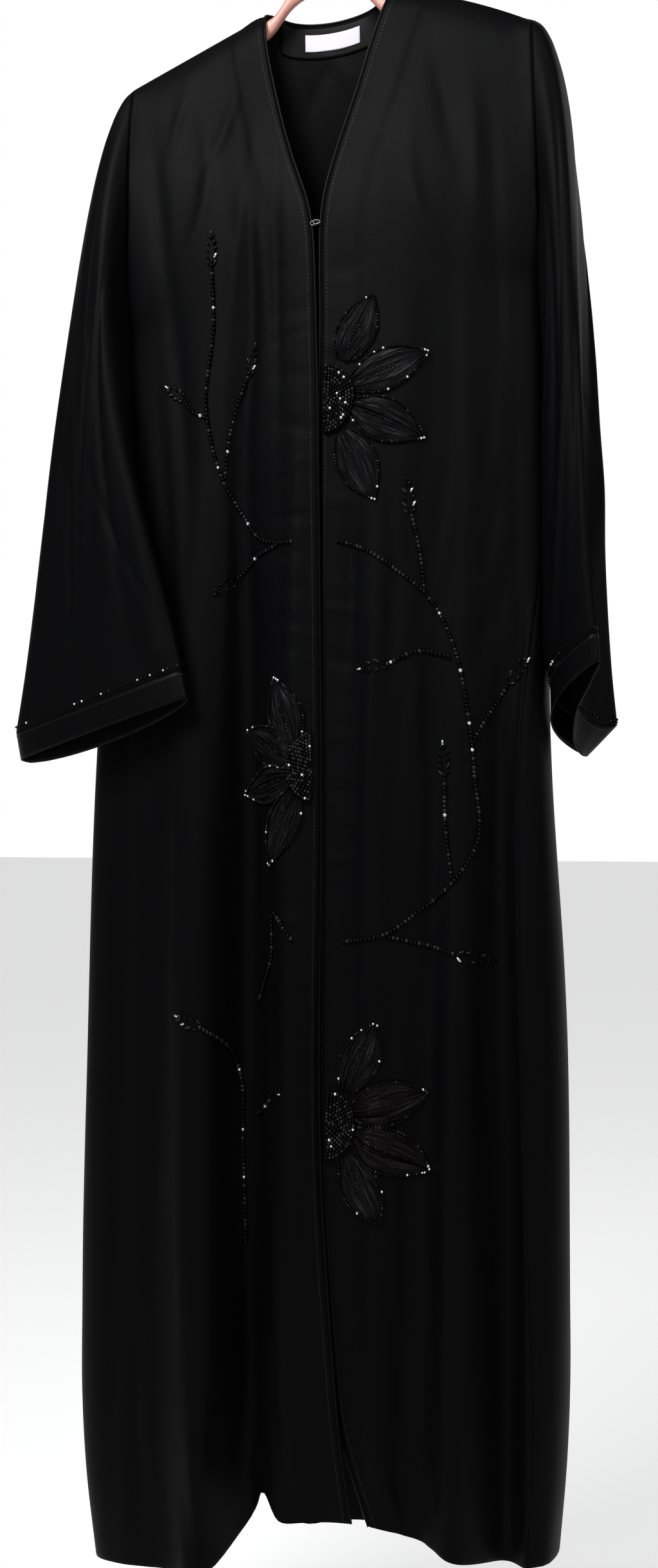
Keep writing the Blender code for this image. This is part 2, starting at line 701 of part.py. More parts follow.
front_left = front_panel("left")
front_right = front_panel("right")
back = back_panel()
sleeve_left = sleeve_panel("left", front_left, back)
sleeve_right = sleeve_panel("right", front_right, back)
pieces = {
    "front_left": (front_left, False, 1),
    "front_right": (front_right, False, -1),
    "back": (back, False, 1),
    "sleeve_left": (sleeve_left, True, -1),
    "sleeve_right": (sleeve_right, True, 1),
    "cuff_left": (cuff_panel("left"), True, -1),
    "cuff_right": (cuff_panel("right"), True, 1),
}
out = share_normals(pieces)

wall("front_left", inset(front_left, top=True, last=True), out["front_left"], WALL, crepe)
wall("front_right", inset(front_right, top=True, last=True), out["front_right"], WALL, crepe, sign=-1)
wall("back", inset(back, top=True, first=True, last=True), out["back"], WALL, crepe)
way_round = 2 * math.pi * np.arange(2 * ARMHOLE_STEPS) / (2 * ARMHOLE_STEPS)
under = UNDERARM_GAP * ((1 - np.cos(way_round)) / 2)[:, None] ** 2
for side, sign in (("left", -1), ("right", 1)):
    for name, look, bottom, more in (("sleeve_", crepe, True, under), ("cuff_", satin, False, 0)):
        grid = inset(pieces[name + side][0], top=True, bottom=bottom, more=more)
        wall(name + side, grid, out[name + side], WALL, look, closed=True, sign=sign)

fronts = {"left": (front_left, out["front_left"], 1), "right": (front_right, out["front_right"], -1)}
for side, (grid, normals, _) in fronts.items():
    wire("edge_binding_" + side, binding_path(grid, normals, 0, 1), BINDING_RADIUS, satin, sides=1)
neckline = back[:2, BACK_SIDE_STEPS : BACK_SIDE_STEPS + BACK_NECK_STEPS + 1]
rise = neckline[0] - neckline[1]
rise /= np.linalg.norm(rise, axis=-1, keepdims=True)
neck_path = neckline[0] + rise * (BINDING_RADIUS + BINDING_GAP + SEAM_GAP)
wire("neck_binding", neck_path[1:-1], BINDING_RADIUS, satin, sides=1)

inside = WALL / 2 + 2 * BINDING_GAP + FACING_WALL / 2
inside_patch(
    "neck_facing", back, out["back"], FACING_HALF, None, FACING_DEPTH, inside, FACING_WALL, satin
)
inside += FACING_WALL / 2 + BINDING_GAP + LABEL_WALL / 2
inside_patch(
    "neck_label", back, out["back"], LABEL_HALF, LABEL_TOP, LABEL_HEIGHT, inside, LABEL_WALL, label_cloth
)

for name, side, petal in PETALS:
    grid, normals, sign = fronts[side]
    lift = PETAL_LIFT[name.split("_")[1]]
    patch(name, (grid, normals), petal_places(petal), lift, PETAL_WALL, organza, 1)
for name, side, x, top, bottom, reach in HEARTS:
    grid, normals, sign = fronts[side]
    lift = HEART_LIFT[name.split("_")[1]]
    patch(name, (grid, normals), heart_places(x, top, bottom, reach), lift, HEART_WALL, beadwork, sign)

clasp_y = front_left[9, 0, 1] - BINDING_RADIUS - CLASP_WIRE - BINDING_GAP
clasp_z = -CENTRE_ROWS[9] - 0.003
wire("neck_hook", clasp_path(-0.0055, 0.0075, clasp_y, clasp_z), CLASP_WIRE, steel, sides=1)
wire("neck_eye", clasp_path(0.0055, -0.0075, clasp_y - 0.0016, clasp_z), CLASP_WIRE, steel, sides=1)

bow("hanger_bow", painted)
wire("hanger_hook", hook_path(), HOOK_WIRE, steel)
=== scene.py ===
# %% [markdown]
# # A beaded abaya cloak on its hanger
# The cloak is a full-length black garment that opens down the front. It hangs on a painted
# hanger with its open side towards us, and three half flowers, sewn on from sheer petals and
# glass beads, grow along the opening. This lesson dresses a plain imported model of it: the
# model gives every wall its true place, and each cell below swaps one plain wall for a finer
# piece, or sews something onto it.

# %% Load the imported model
import math
import random

import bmesh
import bpy
import numpy as np
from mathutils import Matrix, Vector
from mathutils.bvhtree import BVHTree


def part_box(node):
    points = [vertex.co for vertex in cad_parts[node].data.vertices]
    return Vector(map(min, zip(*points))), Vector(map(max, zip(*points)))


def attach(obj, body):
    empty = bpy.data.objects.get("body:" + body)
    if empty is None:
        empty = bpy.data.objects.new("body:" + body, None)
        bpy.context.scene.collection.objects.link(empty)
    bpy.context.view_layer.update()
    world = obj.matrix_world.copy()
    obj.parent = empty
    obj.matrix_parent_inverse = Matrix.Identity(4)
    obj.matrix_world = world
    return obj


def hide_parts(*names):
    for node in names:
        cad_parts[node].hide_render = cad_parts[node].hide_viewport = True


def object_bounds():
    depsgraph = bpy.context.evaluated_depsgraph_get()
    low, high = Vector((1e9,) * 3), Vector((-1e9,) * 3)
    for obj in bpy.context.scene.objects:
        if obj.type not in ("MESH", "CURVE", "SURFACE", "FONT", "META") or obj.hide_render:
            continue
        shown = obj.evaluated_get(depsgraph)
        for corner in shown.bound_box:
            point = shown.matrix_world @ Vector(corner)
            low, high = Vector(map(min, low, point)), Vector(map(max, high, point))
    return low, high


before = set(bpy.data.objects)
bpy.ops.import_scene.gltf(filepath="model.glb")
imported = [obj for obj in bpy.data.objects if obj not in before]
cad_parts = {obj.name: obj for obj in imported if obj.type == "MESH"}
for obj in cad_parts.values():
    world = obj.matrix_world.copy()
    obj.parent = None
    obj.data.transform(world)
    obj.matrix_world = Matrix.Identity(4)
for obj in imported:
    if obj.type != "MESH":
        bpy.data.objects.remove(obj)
cad_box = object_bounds()
bpy.ops.object.select_all(action="DESELECT")
rng = random.Random(7)
print("loaded", len(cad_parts), "plain pieces")

# %% [markdown]
# ## The camera
# The picture was taken from a little to the left side of the cloak and slightly below its
# middle. A camera that stands where the photographer stood, with a lens of the same angle,
# gives the same outline. Its lens is worked out from the picture's long side.

# %% Place the camera
CAMERA_PLACE = (0.522, -1.946, -0.8608)
CAMERA_AZIMUTH = math.radians(15)
CAMERA_PITCH = math.radians(0.51)
PICTURE_HEIGHT_PX = 2439
FOCAL_PX = 3272

bpy.ops.object.camera_add(
    location=CAMERA_PLACE, rotation=(math.pi / 2 + CAMERA_PITCH, 0, CAMERA_AZIMUTH)
)
camera = bpy.context.object
camera.data.lens = camera.data.sensor_width * FOCAL_PX / PICTURE_HEIGHT_PX
bpy.context.scene.camera = camera
print("camera lens", round(camera.data.lens, 1), "mm")

# %% [markdown]
# ## The studio
# Black cloth shows its folds only by what it reflects. A large soft light high in front, a
# little to the left, draws the shoulders and the folds. A weaker one on the right fills their
# far sides, and a third from behind edges the sleeves. The wall behind the cloak is white, and
# so is the floor there. In front of the cloak both are dim, or the black would look grey.

# %% Light the studio
FLOOR_LEVEL = cad_box[0].z - 0.16
FLOOR_SIZE = 60
LIGHTS = (
    ("key", (-0.7, -1.8, 1.2), (0, 0, 0.0), 1.1, 72),
    ("fill", (1.7, -1.7, 0.6), (0.1, 0, -0.3), 1.2, 18),
    ("rim", (1.6, 1.8, 0.6), (0.2, 0, -0.6), 1.2, 4),
)
DIM_ROOM, WHITE_WALL = 0.10, 1.0
# How far round to the back the wall begins to whiten, and where it is fully white.
WALL_BEGINS, WALL_FULL = 0.35, 0.85

for light_name, place, target, size, watts in LIGHTS:
    bpy.ops.object.light_add(type="AREA", location=place)
    light = bpy.context.object
    light.name = light_name
    light.data.size = size
    light.data.energy = watts
    light.rotation_euler = (Vector(target) - Vector(place)).to_track_quat("-Z", "Y").to_euler()

world = bpy.data.worlds.new("pale_studio")
bpy.context.scene.world = world
world.use_nodes = True
background = world.node_tree.nodes["Background"]
background.inputs["Color"].default_value = (1, 1, 1, 1)
way_out = world.node_tree.nodes.new("ShaderNodeTexCoord")
split = world.node_tree.nodes.new("ShaderNodeSeparateXYZ")
shade = world.node_tree.nodes.new("ShaderNodeMapRange")
shade.interpolation_type = "SMOOTHSTEP"
for socket, value in (
    ("From Min", WALL_BEGINS), ("From Max", WALL_FULL), ("To Min", DIM_ROOM), ("To Max", WHITE_WALL)
):
    shade.inputs[socket].default_value = value
world.node_tree.links.new(way_out.outputs["Generated"], split.inputs["Vector"])
world.node_tree.links.new(split.outputs["Y"], shade.inputs["Value"])
world.node_tree.links.new(shade.outputs["Result"], background.inputs["Strength"])
bpy.context.scene.view_settings.view_transform = "Standard"

bpy.ops.mesh.primitive_plane_add(size=FLOOR_SIZE, location=(0, 0, FLOOR_LEVEL))
floor = bpy.context.object
floor.name = "studio_floor"
print("floor at", round(FLOOR_LEVEL, 3), "m, with", len(LIGHTS), "lights")

# %% [markdown]
# ## A small language for materials
# A material is a web of nodes, which is hard to read when it is built link by link. The first
# class wraps one value in that web, so that adding or multiplying values adds the right Math
# node. The second class owns a material: its one method adds any other node from its type,
# its settings and what its sockets take.

# %% Define finishes
class Value:
    """One value in a material's web of nodes."""

    def __init__(self, finish, socket):
        self.finish = finish
        self.socket = socket

    def math(self, operation, first, second):
        return self.finish.add("ShaderNodeMath", {"operation": operation}, {0: first, 1: second})

    def __add__(self, other):
        return self.math("ADD", self, other)

    def __mul__(self, other):
        return self.math("MULTIPLY", self, other)


def socket_name(word):
    """The shader's own name of an input: base_color is Base Color."""
    return word.replace("_", " ").title().replace("Ior", "IOR")


class Finish:
    """A material with a principled shader, and the nodes that feed it."""

    def __init__(self, name, colour, roughness, **constants):
        self.material = bpy.data.materials.new(name)
        self.material.use_nodes = True
        self.tree = self.material.node_tree
        self.shader = self.tree.nodes["Principled BSDF"]
        self.shader.inputs["Base Color"].default_value = (*colour, 1)
        self.shader.inputs["Roughness"].default_value = roughness
        for socket, value in constants.items():
            self.shader.inputs[socket_name(socket)].default_value = value

    def add(self, kind, settings=None, inputs=None, output=0):
        made = self.tree.nodes.new(kind)
        for setting, value in (settings or {}).items():
            if setting == "stops":
                self.set_stops(made.color_ramp, value)
            else:
                setattr(made, setting, value)
        for socket, value in (inputs or {}).items():
            self.feed(made.inputs[socket], value)
        return Value(self, made.outputs[output])

    def set_stops(self, ramp, stops):
        while len(ramp.elements) < len(stops):
            ramp.elements.new(0.5)
        for element, (place, colour) in zip(ramp.elements, stops):
            element.position = place
            element.color = (*colour, 1)

    def feed(self, socket, value):
        if isinstance(value, Value):
            self.tree.links.new(value.socket, socket)
        else:
            socket.default_value = value

    def drive(self, **inputs):
        for socket, value in inputs.items():
            self.feed(self.shader.inputs[socket_name(socket)], value)

    def noise(self, scale, detail=3, stretch=(1, 1, 1), where="Object"):
        """Soft noise over the piece, with this many waves to the metre."""
        place = self.add("ShaderNodeTexCoord", output=where)
        mapped = self.add("ShaderNodeMapping", {}, {"Vector": place, "Scale": stretch})
        inputs = {"Vector": mapped, "Scale": scale, "Detail": detail}
        return self.add("ShaderNodeTexNoise", {}, inputs)

    def mix(self, share, first, second):
        """A colour between two, by a varying share."""
        inputs = {"Factor": share, 6: (*first, 1), 7: (*second, 1)}
        return self.add("ShaderNodeMix", {"data_type": "RGBA"}, inputs, output=2)

    def bump(self, height, depth, strength=1.0):
        """Relief this deep, in metres, where the height is 1."""
        inputs = {"Height": height, "Distance": depth, "Strength": strength}
        self.drive(Normal=self.add("ShaderNodeBump", {}, inputs))


print("ready to mix finishes")

# %% [markdown]
# ## From a thick wall to fine cloth
# Each cloth piece of the plain model is a closed wall: an outer skin, an inner skin and a
# narrow rim. The cloth should follow the outer skin, so a merged copy loses its rim, and the
# outer skin is read off row by row, like the courses of a wall. Smooth curves through those
# rows then give as many finer rows as the creases need.

# %% Read the skins
MERGE = 1e-5
RIM_WIDTH = 0.0017


def skin_faces(node, facing):
    """A merged copy of a wall, and the faces of its outer skin."""
    wall = bmesh.new()
    wall.from_mesh(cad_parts[node].data)
    bmesh.ops.remove_doubles(wall, verts=wall.verts, dist=MERGE)
    wall.normal_update()
    rim = [
        face for face in wall.faces
        if min(edge.calc_length() for edge in face.edges) < RIM_WIDTH
    ]
    bmesh.ops.delete(wall, geom=rim, context="FACES_ONLY")
    skins = []
    unseen = set(wall.faces)
    while unseen:
        skin = []
        front = [unseen.pop()]
        while front:
            face = front.pop()
            skin.append(face)
            for edge in face.edges:
                beyond = unseen.intersection(edge.link_faces)
                unseen -= beyond
                front.extend(beyond)
        skins.append(skin)
    if facing:
        outer = max(skins, key=lambda skin: facing * sum(face.normal.y for face in skin))
    else:
        outer = max(skins, key=lambda skin: sum(face.calc_area() for face in skin))
    return wall, outer


def chains(pairs):
    """The lines of corners that these pairs join. A closed line starts anywhere."""
    joined = {}
    for a, b in pairs:
        joined.setdefault(a, []).append(b)
        joined.setdefault(b, []).append(a)
    found = []
    while joined:
        ends = [corner for corner, others in joined.items() if len(others) == 1]
        line = [ends[0] if ends else next(iter(joined))]
        while True:
            onward = [corner for corner in joined.pop(line[-1]) if corner in joined]
            if not onward:
                break
            line.append(onward[0])
        found.append(line)
    return found


def places(corners):
    return np.array([corner.co[:] for corner in corners])


def first_row(outer, corner, closed):
    """The skin's top row: a tube's upper ring, or a panel's row from its top corner."""
    inside = set(outer)
    rim = [
        edge.verts[:] for face in outer for edge in face.edges
        if sum(other in inside for other in edge.link_faces) == 1
    ]
    lines = chains(rim)
    if closed:
        ring = max(lines, key=lambda line: places(line)[:, 2].mean())
        top = int(np.argmax(places(ring)[:, 2]))
        return ring[top:] + ring[:top]
    border = lines[0]
    corners = len({vert for face in outer for vert in face.verts})
    half = (len(border) + 4) / 4
    width = round(half - math.sqrt(half * half - corners))
    start = int(np.argmin(np.linalg.norm(places(border) - np.array(corner), axis=1)))
    ways = [[border[(start + way * i) % len(border)] for i in range(width)] for way in (1, -1)]
    slope = [abs(way[1].co.z - way[0].co.z) / (way[1].co - way[0].co).length for way in ways]
    return ways[int(np.argmin(slope))]


def lined_up(line, row, closed):
    """The next row, turned so that each corner lies by its neighbour in the last row."""
    ways = [line, line[::-1]]
    if closed:
        ways = [way[i:] + way[:i] for way in ways for i in range(len(way))]
    return min(ways, key=lambda way: np.linalg.norm(places(way) - places(row)))


def skin_rows(node, facing=0, corner=None):
    """The outer skin of a wall as a grid of points. With no facing, the wall is a tube."""
    closed = corner is None
    wall, outer = skin_faces(node, facing)
    row = first_row(outer, corner, closed)
    left = set(outer)
    rows = []
    while row:
        rows.append(places(row))
        strip = {face for vert in row for face in vert.link_faces if face in left}
        left -= strip
        known = set(row)
        ahead = [[vert for vert in face.verts if vert not in known] for face in strip]
        lines = chains([pair for pair in ahead if len(pair) == 2])
        row = lined_up(lines[0], row, closed) if lines else None
    wall.free()
    return np.array(rows)


def evened(grid, count):
    """The grid with this many evenly spaced rows, on smooth curves through its own."""
    steps = np.linalg.norm(np.diff(grid, axis=0), axis=2).mean(axis=1)
    at = np.concatenate([[0], np.cumsum(steps)])
    slopes = np.gradient(grid, at, axis=0)
    wanted = np.linspace(0, at[-1], count)
    i = np.clip(np.searchsorted(at, wanted, side="right") - 1, 0, len(at) - 2)
    step = (at[i + 1] - at[i])[:, None, None]
    t = (wanted - at[i])[:, None, None] / step
    return (
        grid[i] * (1 + 2 * t) * (1 - t) ** 2
        + grid[i + 1] * t * t * (3 - 2 * t)
        + step * (slopes[i] * t * (1 - t) ** 2 - slopes[i + 1] * t * t * (1 - t))
    )


def finer(grid, rows, columns, closed=False):
    """A grid of this many rows and columns through the points of a coarser one."""
    across = grid.swapaxes(0, 1)
    if closed:
        across = np.concatenate([across] * 3 + [across[:1]])
        across = evened(across, 3 * columns + 1)[columns : 2 * columns]
    else:
        across = evened(across, columns)
    return evened(across.swapaxes(0, 1), rows)


# The neck points, where the fronts' skins are read from.
NECK_HALF = 0.064
NECK_DOWN = 0.0948
FRONTS = {"front_left": (NECK_HALF, 0, -NECK_DOWN), "front_right": (-NECK_HALF, 0, -NECK_DOWN)}
skins = {name: skin_rows(name, -1, corner) for name, corner in FRONTS.items()}
skins["back"] = skin_rows("back", 1, skins["front_left"][0][-1])
for name in ("sleeve_left", "sleeve_right", "cuff_left", "cuff_right"):
    skins[name] = skin_rows(name)
for name, grid in skins.items():
    print(name, "has", grid.shape[0], "rows of", grid.shape[1])

# %% [markdown]
# ## Black fabrics, glass and paint
# Crepe is a matt cloth with a fine pebbled grain. Satin has long floats, so it shines.
# Organza is sheer, and its gathers carry painted highlights: pale, more metallic streaks in its
# colour, which also bump it. A little noise in each roughness keeps the dark surfaces from
# looking like plastic.

# %% Mix the finishes
crepe = Finish("crepe", (0.0021, 0.0022, 0.0026), 0.6, specular_ior_level=0.045)
crepe.drive(roughness=crepe.noise(9, 4) * 0.2 + 0.44)
crepe.bump(crepe.noise(850, 2), 0.00025, 0.5)

satin = Finish("satin", (0.0018, 0.0019, 0.0023), 0.4, specular_ior_level=0.08)
satin.drive(roughness=satin.noise(14, 3) * 0.2 + 0.30)
satin.bump(satin.noise(260, 3, (1, 1, 0.15)), 0.0002, 0.4)

# The streaks' ramp: where it is white, the colour turns to the painted highlight and the pleats
# rise.
SHEEN_AND_PLEAT_STOPS = (0, (0.0, 0.0, 0.0)), (0.50, (0.05, 0.05, 0.05)), (0.66, (1, 1, 1))


def sheer(name, dark, painted_sheen):
    """Organza whose painted highlight streaks run from a petal's foot to its tip."""
    made = Finish(name, dark, 0.3, specular_ior_level=0.06)
    streaks = made.noise(3.2, 5, (12, 0.7, 1), "UV")
    share = made.add("ShaderNodeValToRGB", {"stops": SHEEN_AND_PLEAT_STOPS}, {"Fac": streaks})
    made.drive(base_color=made.mix(share, dark, painted_sheen))
    made.drive(alpha=made.noise(5, 3, (6, 1, 1), "UV") * 0.35 + 0.62, metallic=share * 0.45)
    made.drive(roughness=made.noise(4, 2, (5, 1, 1), "UV") * 0.3 + 0.14)
    made.bump(share, 0.0012, 0.9)
    return made


# Each second colour is the painted highlight in the streaks.
organza = sheer("organza", (0.0006, 0.0006, 0.0008), (0.050, 0.050, 0.055))
wine_organza = sheer("wine_organza", (0.0009, 0.0005, 0.0006), (0.048, 0.040, 0.042))

jet = Finish("jet_beads", (0.0006, 0.0006, 0.0008), 0.12, specular_ior_level=0.12)
crystal = Finish("crystal_beads", (0.80, 0.82, 0.86), 0.10, metallic=0.85)
clasp_metal = Finish("clasp_metal", (0.16, 0.16, 0.165), 0.38, metallic=1.0)
pewter = Finish("pewter_beads", (0.020, 0.020, 0.022), 0.16, metallic=0.5, specular_ior_level=0.3)
label_cloth = Finish("label_cloth", (0.74, 0.73, 0.80), 0.75)
label_cloth.bump(label_cloth.noise(900, 1), 0.0002, 0.5)
paint = Finish("hanger_paint", (0.60, 0.27, 0.215), 0.42, coat_weight=0.3, coat_roughness=0.3)
paint.drive(roughness=paint.noise(22, 3) * 0.16 + 0.34)
steel = Finish("steel", (0.62, 0.62, 0.62), 0.24, metallic=1.0)
thread = Finish("thread", (0.008, 0.008, 0.009), 0.4)
studio_white = Finish("studio_white", (0.84, 0.84, 0.85), 0.9, emission_strength=0.50)

# The floor is dim this far in front of the cloak, and white this far behind it.
FLOOR_DIM_AT, FLOOR_WHITE_AT = -0.4, 0.4
DIM_FLOOR = (0.1, 0.1, 0.1)
floor_place = studio_white.add("ShaderNodeTexCoord", output="Object")
depth = studio_white.add("ShaderNodeSeparateXYZ", {}, {"Vector": floor_place}, output="Y")
fade = {"Value": depth, "From Min": FLOOR_DIM_AT, "From Max": FLOOR_WHITE_AT}
behind = studio_white.add("ShaderNodeMapRange", {}, fade)
studio_white.drive(emission_color=studio_white.mix(behind, DIM_FLOOR, (1, 1, 1)))
floor.data.materials.append(studio_white.material)
print("mixed", len(bpy.data.materials), "finishes")

# %% [markdown]
# ## Creases in the cloth
# Hung cloth keeps soft troughs and ridges, no two of them alike: short drapes below a
# shoulder, long flutes down to the hem, and puckers where the facing pulls at the front.
# Each crease below is a line of a table. It has a place, a slant, a length, a width and a
# height, and a bend that curves it. Their sum pushes the fine cloth in and out.

# %% Crease the cloth
# Rows and columns of each fine piece.
SIZES = {
    "front_left": (400, 64), "front_right": (400, 64), "back": (300, 88),
    "sleeve_left": (120, 80), "sleeve_right": (120, 80),
    "cuff_left": (9, 80), "cuff_right": (9, 80),
}
TUBES = ("sleeve_left", "sleeve_right", "cuff_left", "cuff_right")

# Across from the middle and down from the top of the frame in metres, slant from upright in
# degrees, half length, half width, height in metres, and bend. On a sleeve, across goes round
# it from its topmost line, as if every ring were this long, and down goes along it.
RING = 0.36
CREASES = {
    "front_right": (
        (-0.146, 0.200, -14, 0.030, 0.006, 0.0016, 0),
        (-0.097, 0.210, -20, 0.036, 0.007, -0.0020, 2),
        (-0.114, 0.285, -9, 0.060, 0.008, 0.0024, 3),
        (-0.163, 0.285, 9, 0.075, 0.009, -0.0022, 0),
        (-0.078, 0.330, -6, 0.090, 0.008, 0.0020, 0),
        (-0.063, 0.395, 0, 0.130, 0.007, -0.0030, 0.5),
        (-0.038, 0.385, 2, 0.120, 0.006, -0.0022, 0),
        (-0.135, 0.480, 6, 0.140, 0.010, -0.0032, 0.3),
        (-0.068, 0.790, 1, 0.300, 0.010, -0.0052, 0.05),
        (-0.061, 1.290, -1, 0.260, 0.011, -0.0048, 0.1),
        (-0.104, 0.900, 1, 0.380, 0.012, 0.0040, 0),
        (-0.098, 1.380, -1, 0.180, 0.010, 0.0030, 0),
        (-0.017, 0.720, -1, 0.300, 0.010, 0.0032, 0),
        (-0.012, 1.240, 1, 0.260, 0.011, 0.0034, 0),
        (-0.142, 0.690, 3, 0.200, 0.008, -0.0034, 0.1),
        (-0.152, 1.060, -2, 0.240, 0.009, -0.0038, 0),
        (-0.176, 0.800, 2, 0.250, 0.010, 0.0030, 0),
        (-0.196, 1.170, -1, 0.300, 0.010, -0.0034, 0),
        (-0.126, 1.330, 1, 0.200, 0.008, 0.0028, 0),
        (-0.040, 1.020, 2, 0.180, 0.007, -0.0022, 0.2),
        (-0.090, 1.470, -2, 0.090, 0.007, -0.0022, 0),
        (-0.176, 1.440, 2, 0.120, 0.008, -0.0026, 0),
    ),
    "front_left": (
        (0.118, 0.205, 12, 0.045, 0.009, -0.0018, 0),
        (0.150, 0.250, 7, 0.060, 0.009, 0.0022, 0),
        (0.096, 0.300, 18, 0.050, 0.007, 0.0018, -3),
        (0.170, 0.380, 3, 0.110, 0.010, -0.0036, 0),
        (0.134, 0.600, 0, 0.220, 0.012, -0.0046, 0),
        (0.037, 0.650, 0, 0.075, 0.006, -0.0026, 0),
        (0.077, 0.655, 1, 0.090, 0.006, -0.0026, 0.4),
        (0.058, 0.780, -2, 0.150, 0.009, 0.0026, 0),
        (0.101, 0.850, 2, 0.190, 0.008, 0.0026, 0.2),
        (0.164, 0.760, -2, 0.230, 0.009, 0.0034, 0),
        (0.191, 0.700, 1, 0.260, 0.009, -0.0056, 0),
        (0.186, 1.220, -1, 0.300, 0.010, -0.0058, 0),
        (0.135, 1.260, 0, 0.300, 0.012, 0.0042, 0),
        (0.158, 1.060, 1, 0.160, 0.007, -0.0028, 0),
        (0.046, 1.270, 1, 0.200, 0.009, -0.0034, 0.1),
        (0.092, 1.340, -1, 0.220, 0.009, -0.0040, 0),
        (0.070, 1.450, 2, 0.110, 0.008, 0.0026, 0),
        (0.112, 1.480, 0, 0.090, 0.007, 0.0022, 0),
    ),
    "back": (
        (0.014, 0.158, 34, 0.026, 0.005, -0.0017, 5),
        (-0.018, 0.170, -24, 0.028, 0.005, 0.0016, -5),
        (0.030, 0.188, -12, 0.030, 0.006, 0.0015, 3),
        (0.002, 0.205, 14, 0.034, 0.005, -0.0018, 0),
        (-0.034, 0.158, 8, 0.022, 0.005, -0.0013, 0),
        (-0.006, 0.245, -9, 0.034, 0.005, 0.0014, 2),
        (-0.105, 0.235, -16, 0.050, 0.010, -0.0020, 0),
        (0.092, 0.225, 18, 0.045, 0.009, 0.0020, 2),
        (-0.010, 0.300, 3, 0.080, 0.012, -0.0022, 0),
        (0.055, 0.400, -4, 0.110, 0.010, 0.0026, 0),
        (-0.060, 0.430, 4, 0.120, 0.010, 0.0026, 0),
        (0.140, 0.430, 3, 0.130, 0.011, -0.0034, 0),
        (-0.150, 0.470, -3, 0.150, 0.011, -0.0034, 0),
        (0.020, 0.760, 1, 0.280, 0.012, -0.0040, 0),
        (-0.095, 0.830, -1, 0.300, 0.011, 0.0036, 0),
        (0.096, 0.900, 1, 0.280, 0.011, -0.0042, 0),
        (-0.040, 1.180, 1, 0.320, 0.012, -0.0044, 0),
        (0.060, 1.260, -1, 0.260, 0.010, 0.0036, 0),
        (-0.142, 1.150, 2, 0.300, 0.011, -0.0044, 0),
        (0.160, 1.150, -2, 0.300, 0.011, 0.0038, 0),
        (0.128, 1.420, 1, 0.130, 0.009, -0.0030, 0),
        (-0.090, 1.450, -2, 0.110, 0.009, 0.0026, 0),
        (-0.190, 0.900, 0, 0.300, 0.010, 0.0030, 0),
        (0.193, 0.760, 0, 0.250, 0.010, -0.0030, 0),
    ),
    "sleeve_left": (
        (0.172, 0.035, 0, 0.060, 0.034, 0.0070, 0),
        (0.165, 0.100, 0, 0.060, 0.030, 0.0040, 0),
        (0.150, 0.170, 0, 0.150, 0.036, 0.0055, 0),
        (0.122, 0.270, 0, 0.110, 0.026, 0.0050, 0),
        (0.098, 0.410, 0, 0.110, 0.030, 0.0050, 0),
        (0.040, 0.110, 10, 0.090, 0.010, -0.0024, 0),
        (0.085, 0.230, -6, 0.150, 0.011, -0.0032, 0),
        (0.130, 0.180, 4, 0.120, 0.009, 0.0026, 0),
        (0.165, 0.380, -3, 0.160, 0.011, -0.0030, 0),
        (0.060, 0.400, 6, 0.120, 0.010, 0.0024, 0),
        (0.225, 0.260, 4, 0.160, 0.011, 0.0028, 0),
        (0.275, 0.200, -5, 0.140, 0.011, -0.0030, 0),
        (0.320, 0.370, 5, 0.150, 0.010, 0.0026, 0),
        (0.010, 0.300, 3, 0.140, 0.010, -0.0026, 0),
        (0.110, 0.330, 62, 0.030, 0.007, -0.0014, 4),
        (0.300, 0.300, -60, 0.032, 0.007, -0.0014, 4),
    ),
    "sleeve_right": (
        (0.188, 0.060, 0, 0.075, 0.034, 0.0105, 0),
        (0.045, 0.120, 12, 0.100, 0.010, -0.0028, 0),
        (0.088, 0.260, -5, 0.150, 0.010, 0.0030, 0),
        (0.120, 0.220, 5, 0.150, 0.009, -0.0034, 0),
        (0.160, 0.350, -4, 0.170, 0.011, 0.0030, 0),
        (0.062, 0.400, 4, 0.110, 0.009, -0.0028, 0),
        (0.215, 0.250, 3, 0.150, 0.011, -0.0030, 0),
        (0.262, 0.300, -4, 0.170, 0.011, 0.0028, 0),
        (0.315, 0.220, 5, 0.140, 0.010, -0.0028, 0),
        (0.015, 0.350, -3, 0.150, 0.010, 0.0026, 0),
        (0.135, 0.300, 58, 0.035, 0.007, -0.0016, 4),
        (0.070, 0.200, -55, 0.030, 0.007, -0.0014, -4),
    ),
}


def outward(grid, closed=False):
    """The unit normal at each point of a grid, away from the body's or the tube's middle."""
    down = np.gradient(grid, axis=0)
    across = np.gradient(grid, axis=1)
    if closed:
        across = np.roll(grid, -1, axis=1) - np.roll(grid, 1, axis=1)
    normals = np.cross(down, across)
    normals /= np.linalg.norm(normals, axis=-1, keepdims=True)
    middle = grid.mean(axis=1, keepdims=True) if closed else grid * (0, 0, 1)
    return normals * np.sign(np.sum(normals * (grid - middle)))


def lengths(grid, axis):
    """How far each point lies along its row or column."""
    steps = np.linalg.norm(np.diff(grid, axis=axis, prepend=grid.take([0], axis)), axis=2)
    return np.cumsum(steps, axis=axis)


def pressed(across, down, creases, around=None):
    """The height of all the creases at each point. Across wraps round a tube."""
    height = np.zeros(across.shape)
    for x, drop, slant, length, width, rise, bend in creases:
        aside = across - x
        if around is not None:
            aside = (aside + around / 2) % around - around / 2
        below = down - drop
        turn = math.radians(slant)
        run = below * math.cos(turn) + aside * math.sin(turn)
        off = aside * math.cos(turn) - below * math.sin(turn) + bend * run * run
        height += rise * np.exp(-((run / length) ** 2) - (off / width) ** 2)
    return height


def faded(count, first, last):
    """1 along a line of points, but falling to 0 over this many points at its ends."""
    i = np.arange(count)
    share = np.ones(count)
    if first:
        share = np.minimum(share, i / first)
    if last:
        share = np.minimum(share, (count - 1 - i) / last)
    return share * share * (3 - 2 * share)


SMOOTHED_OVER = 0.014


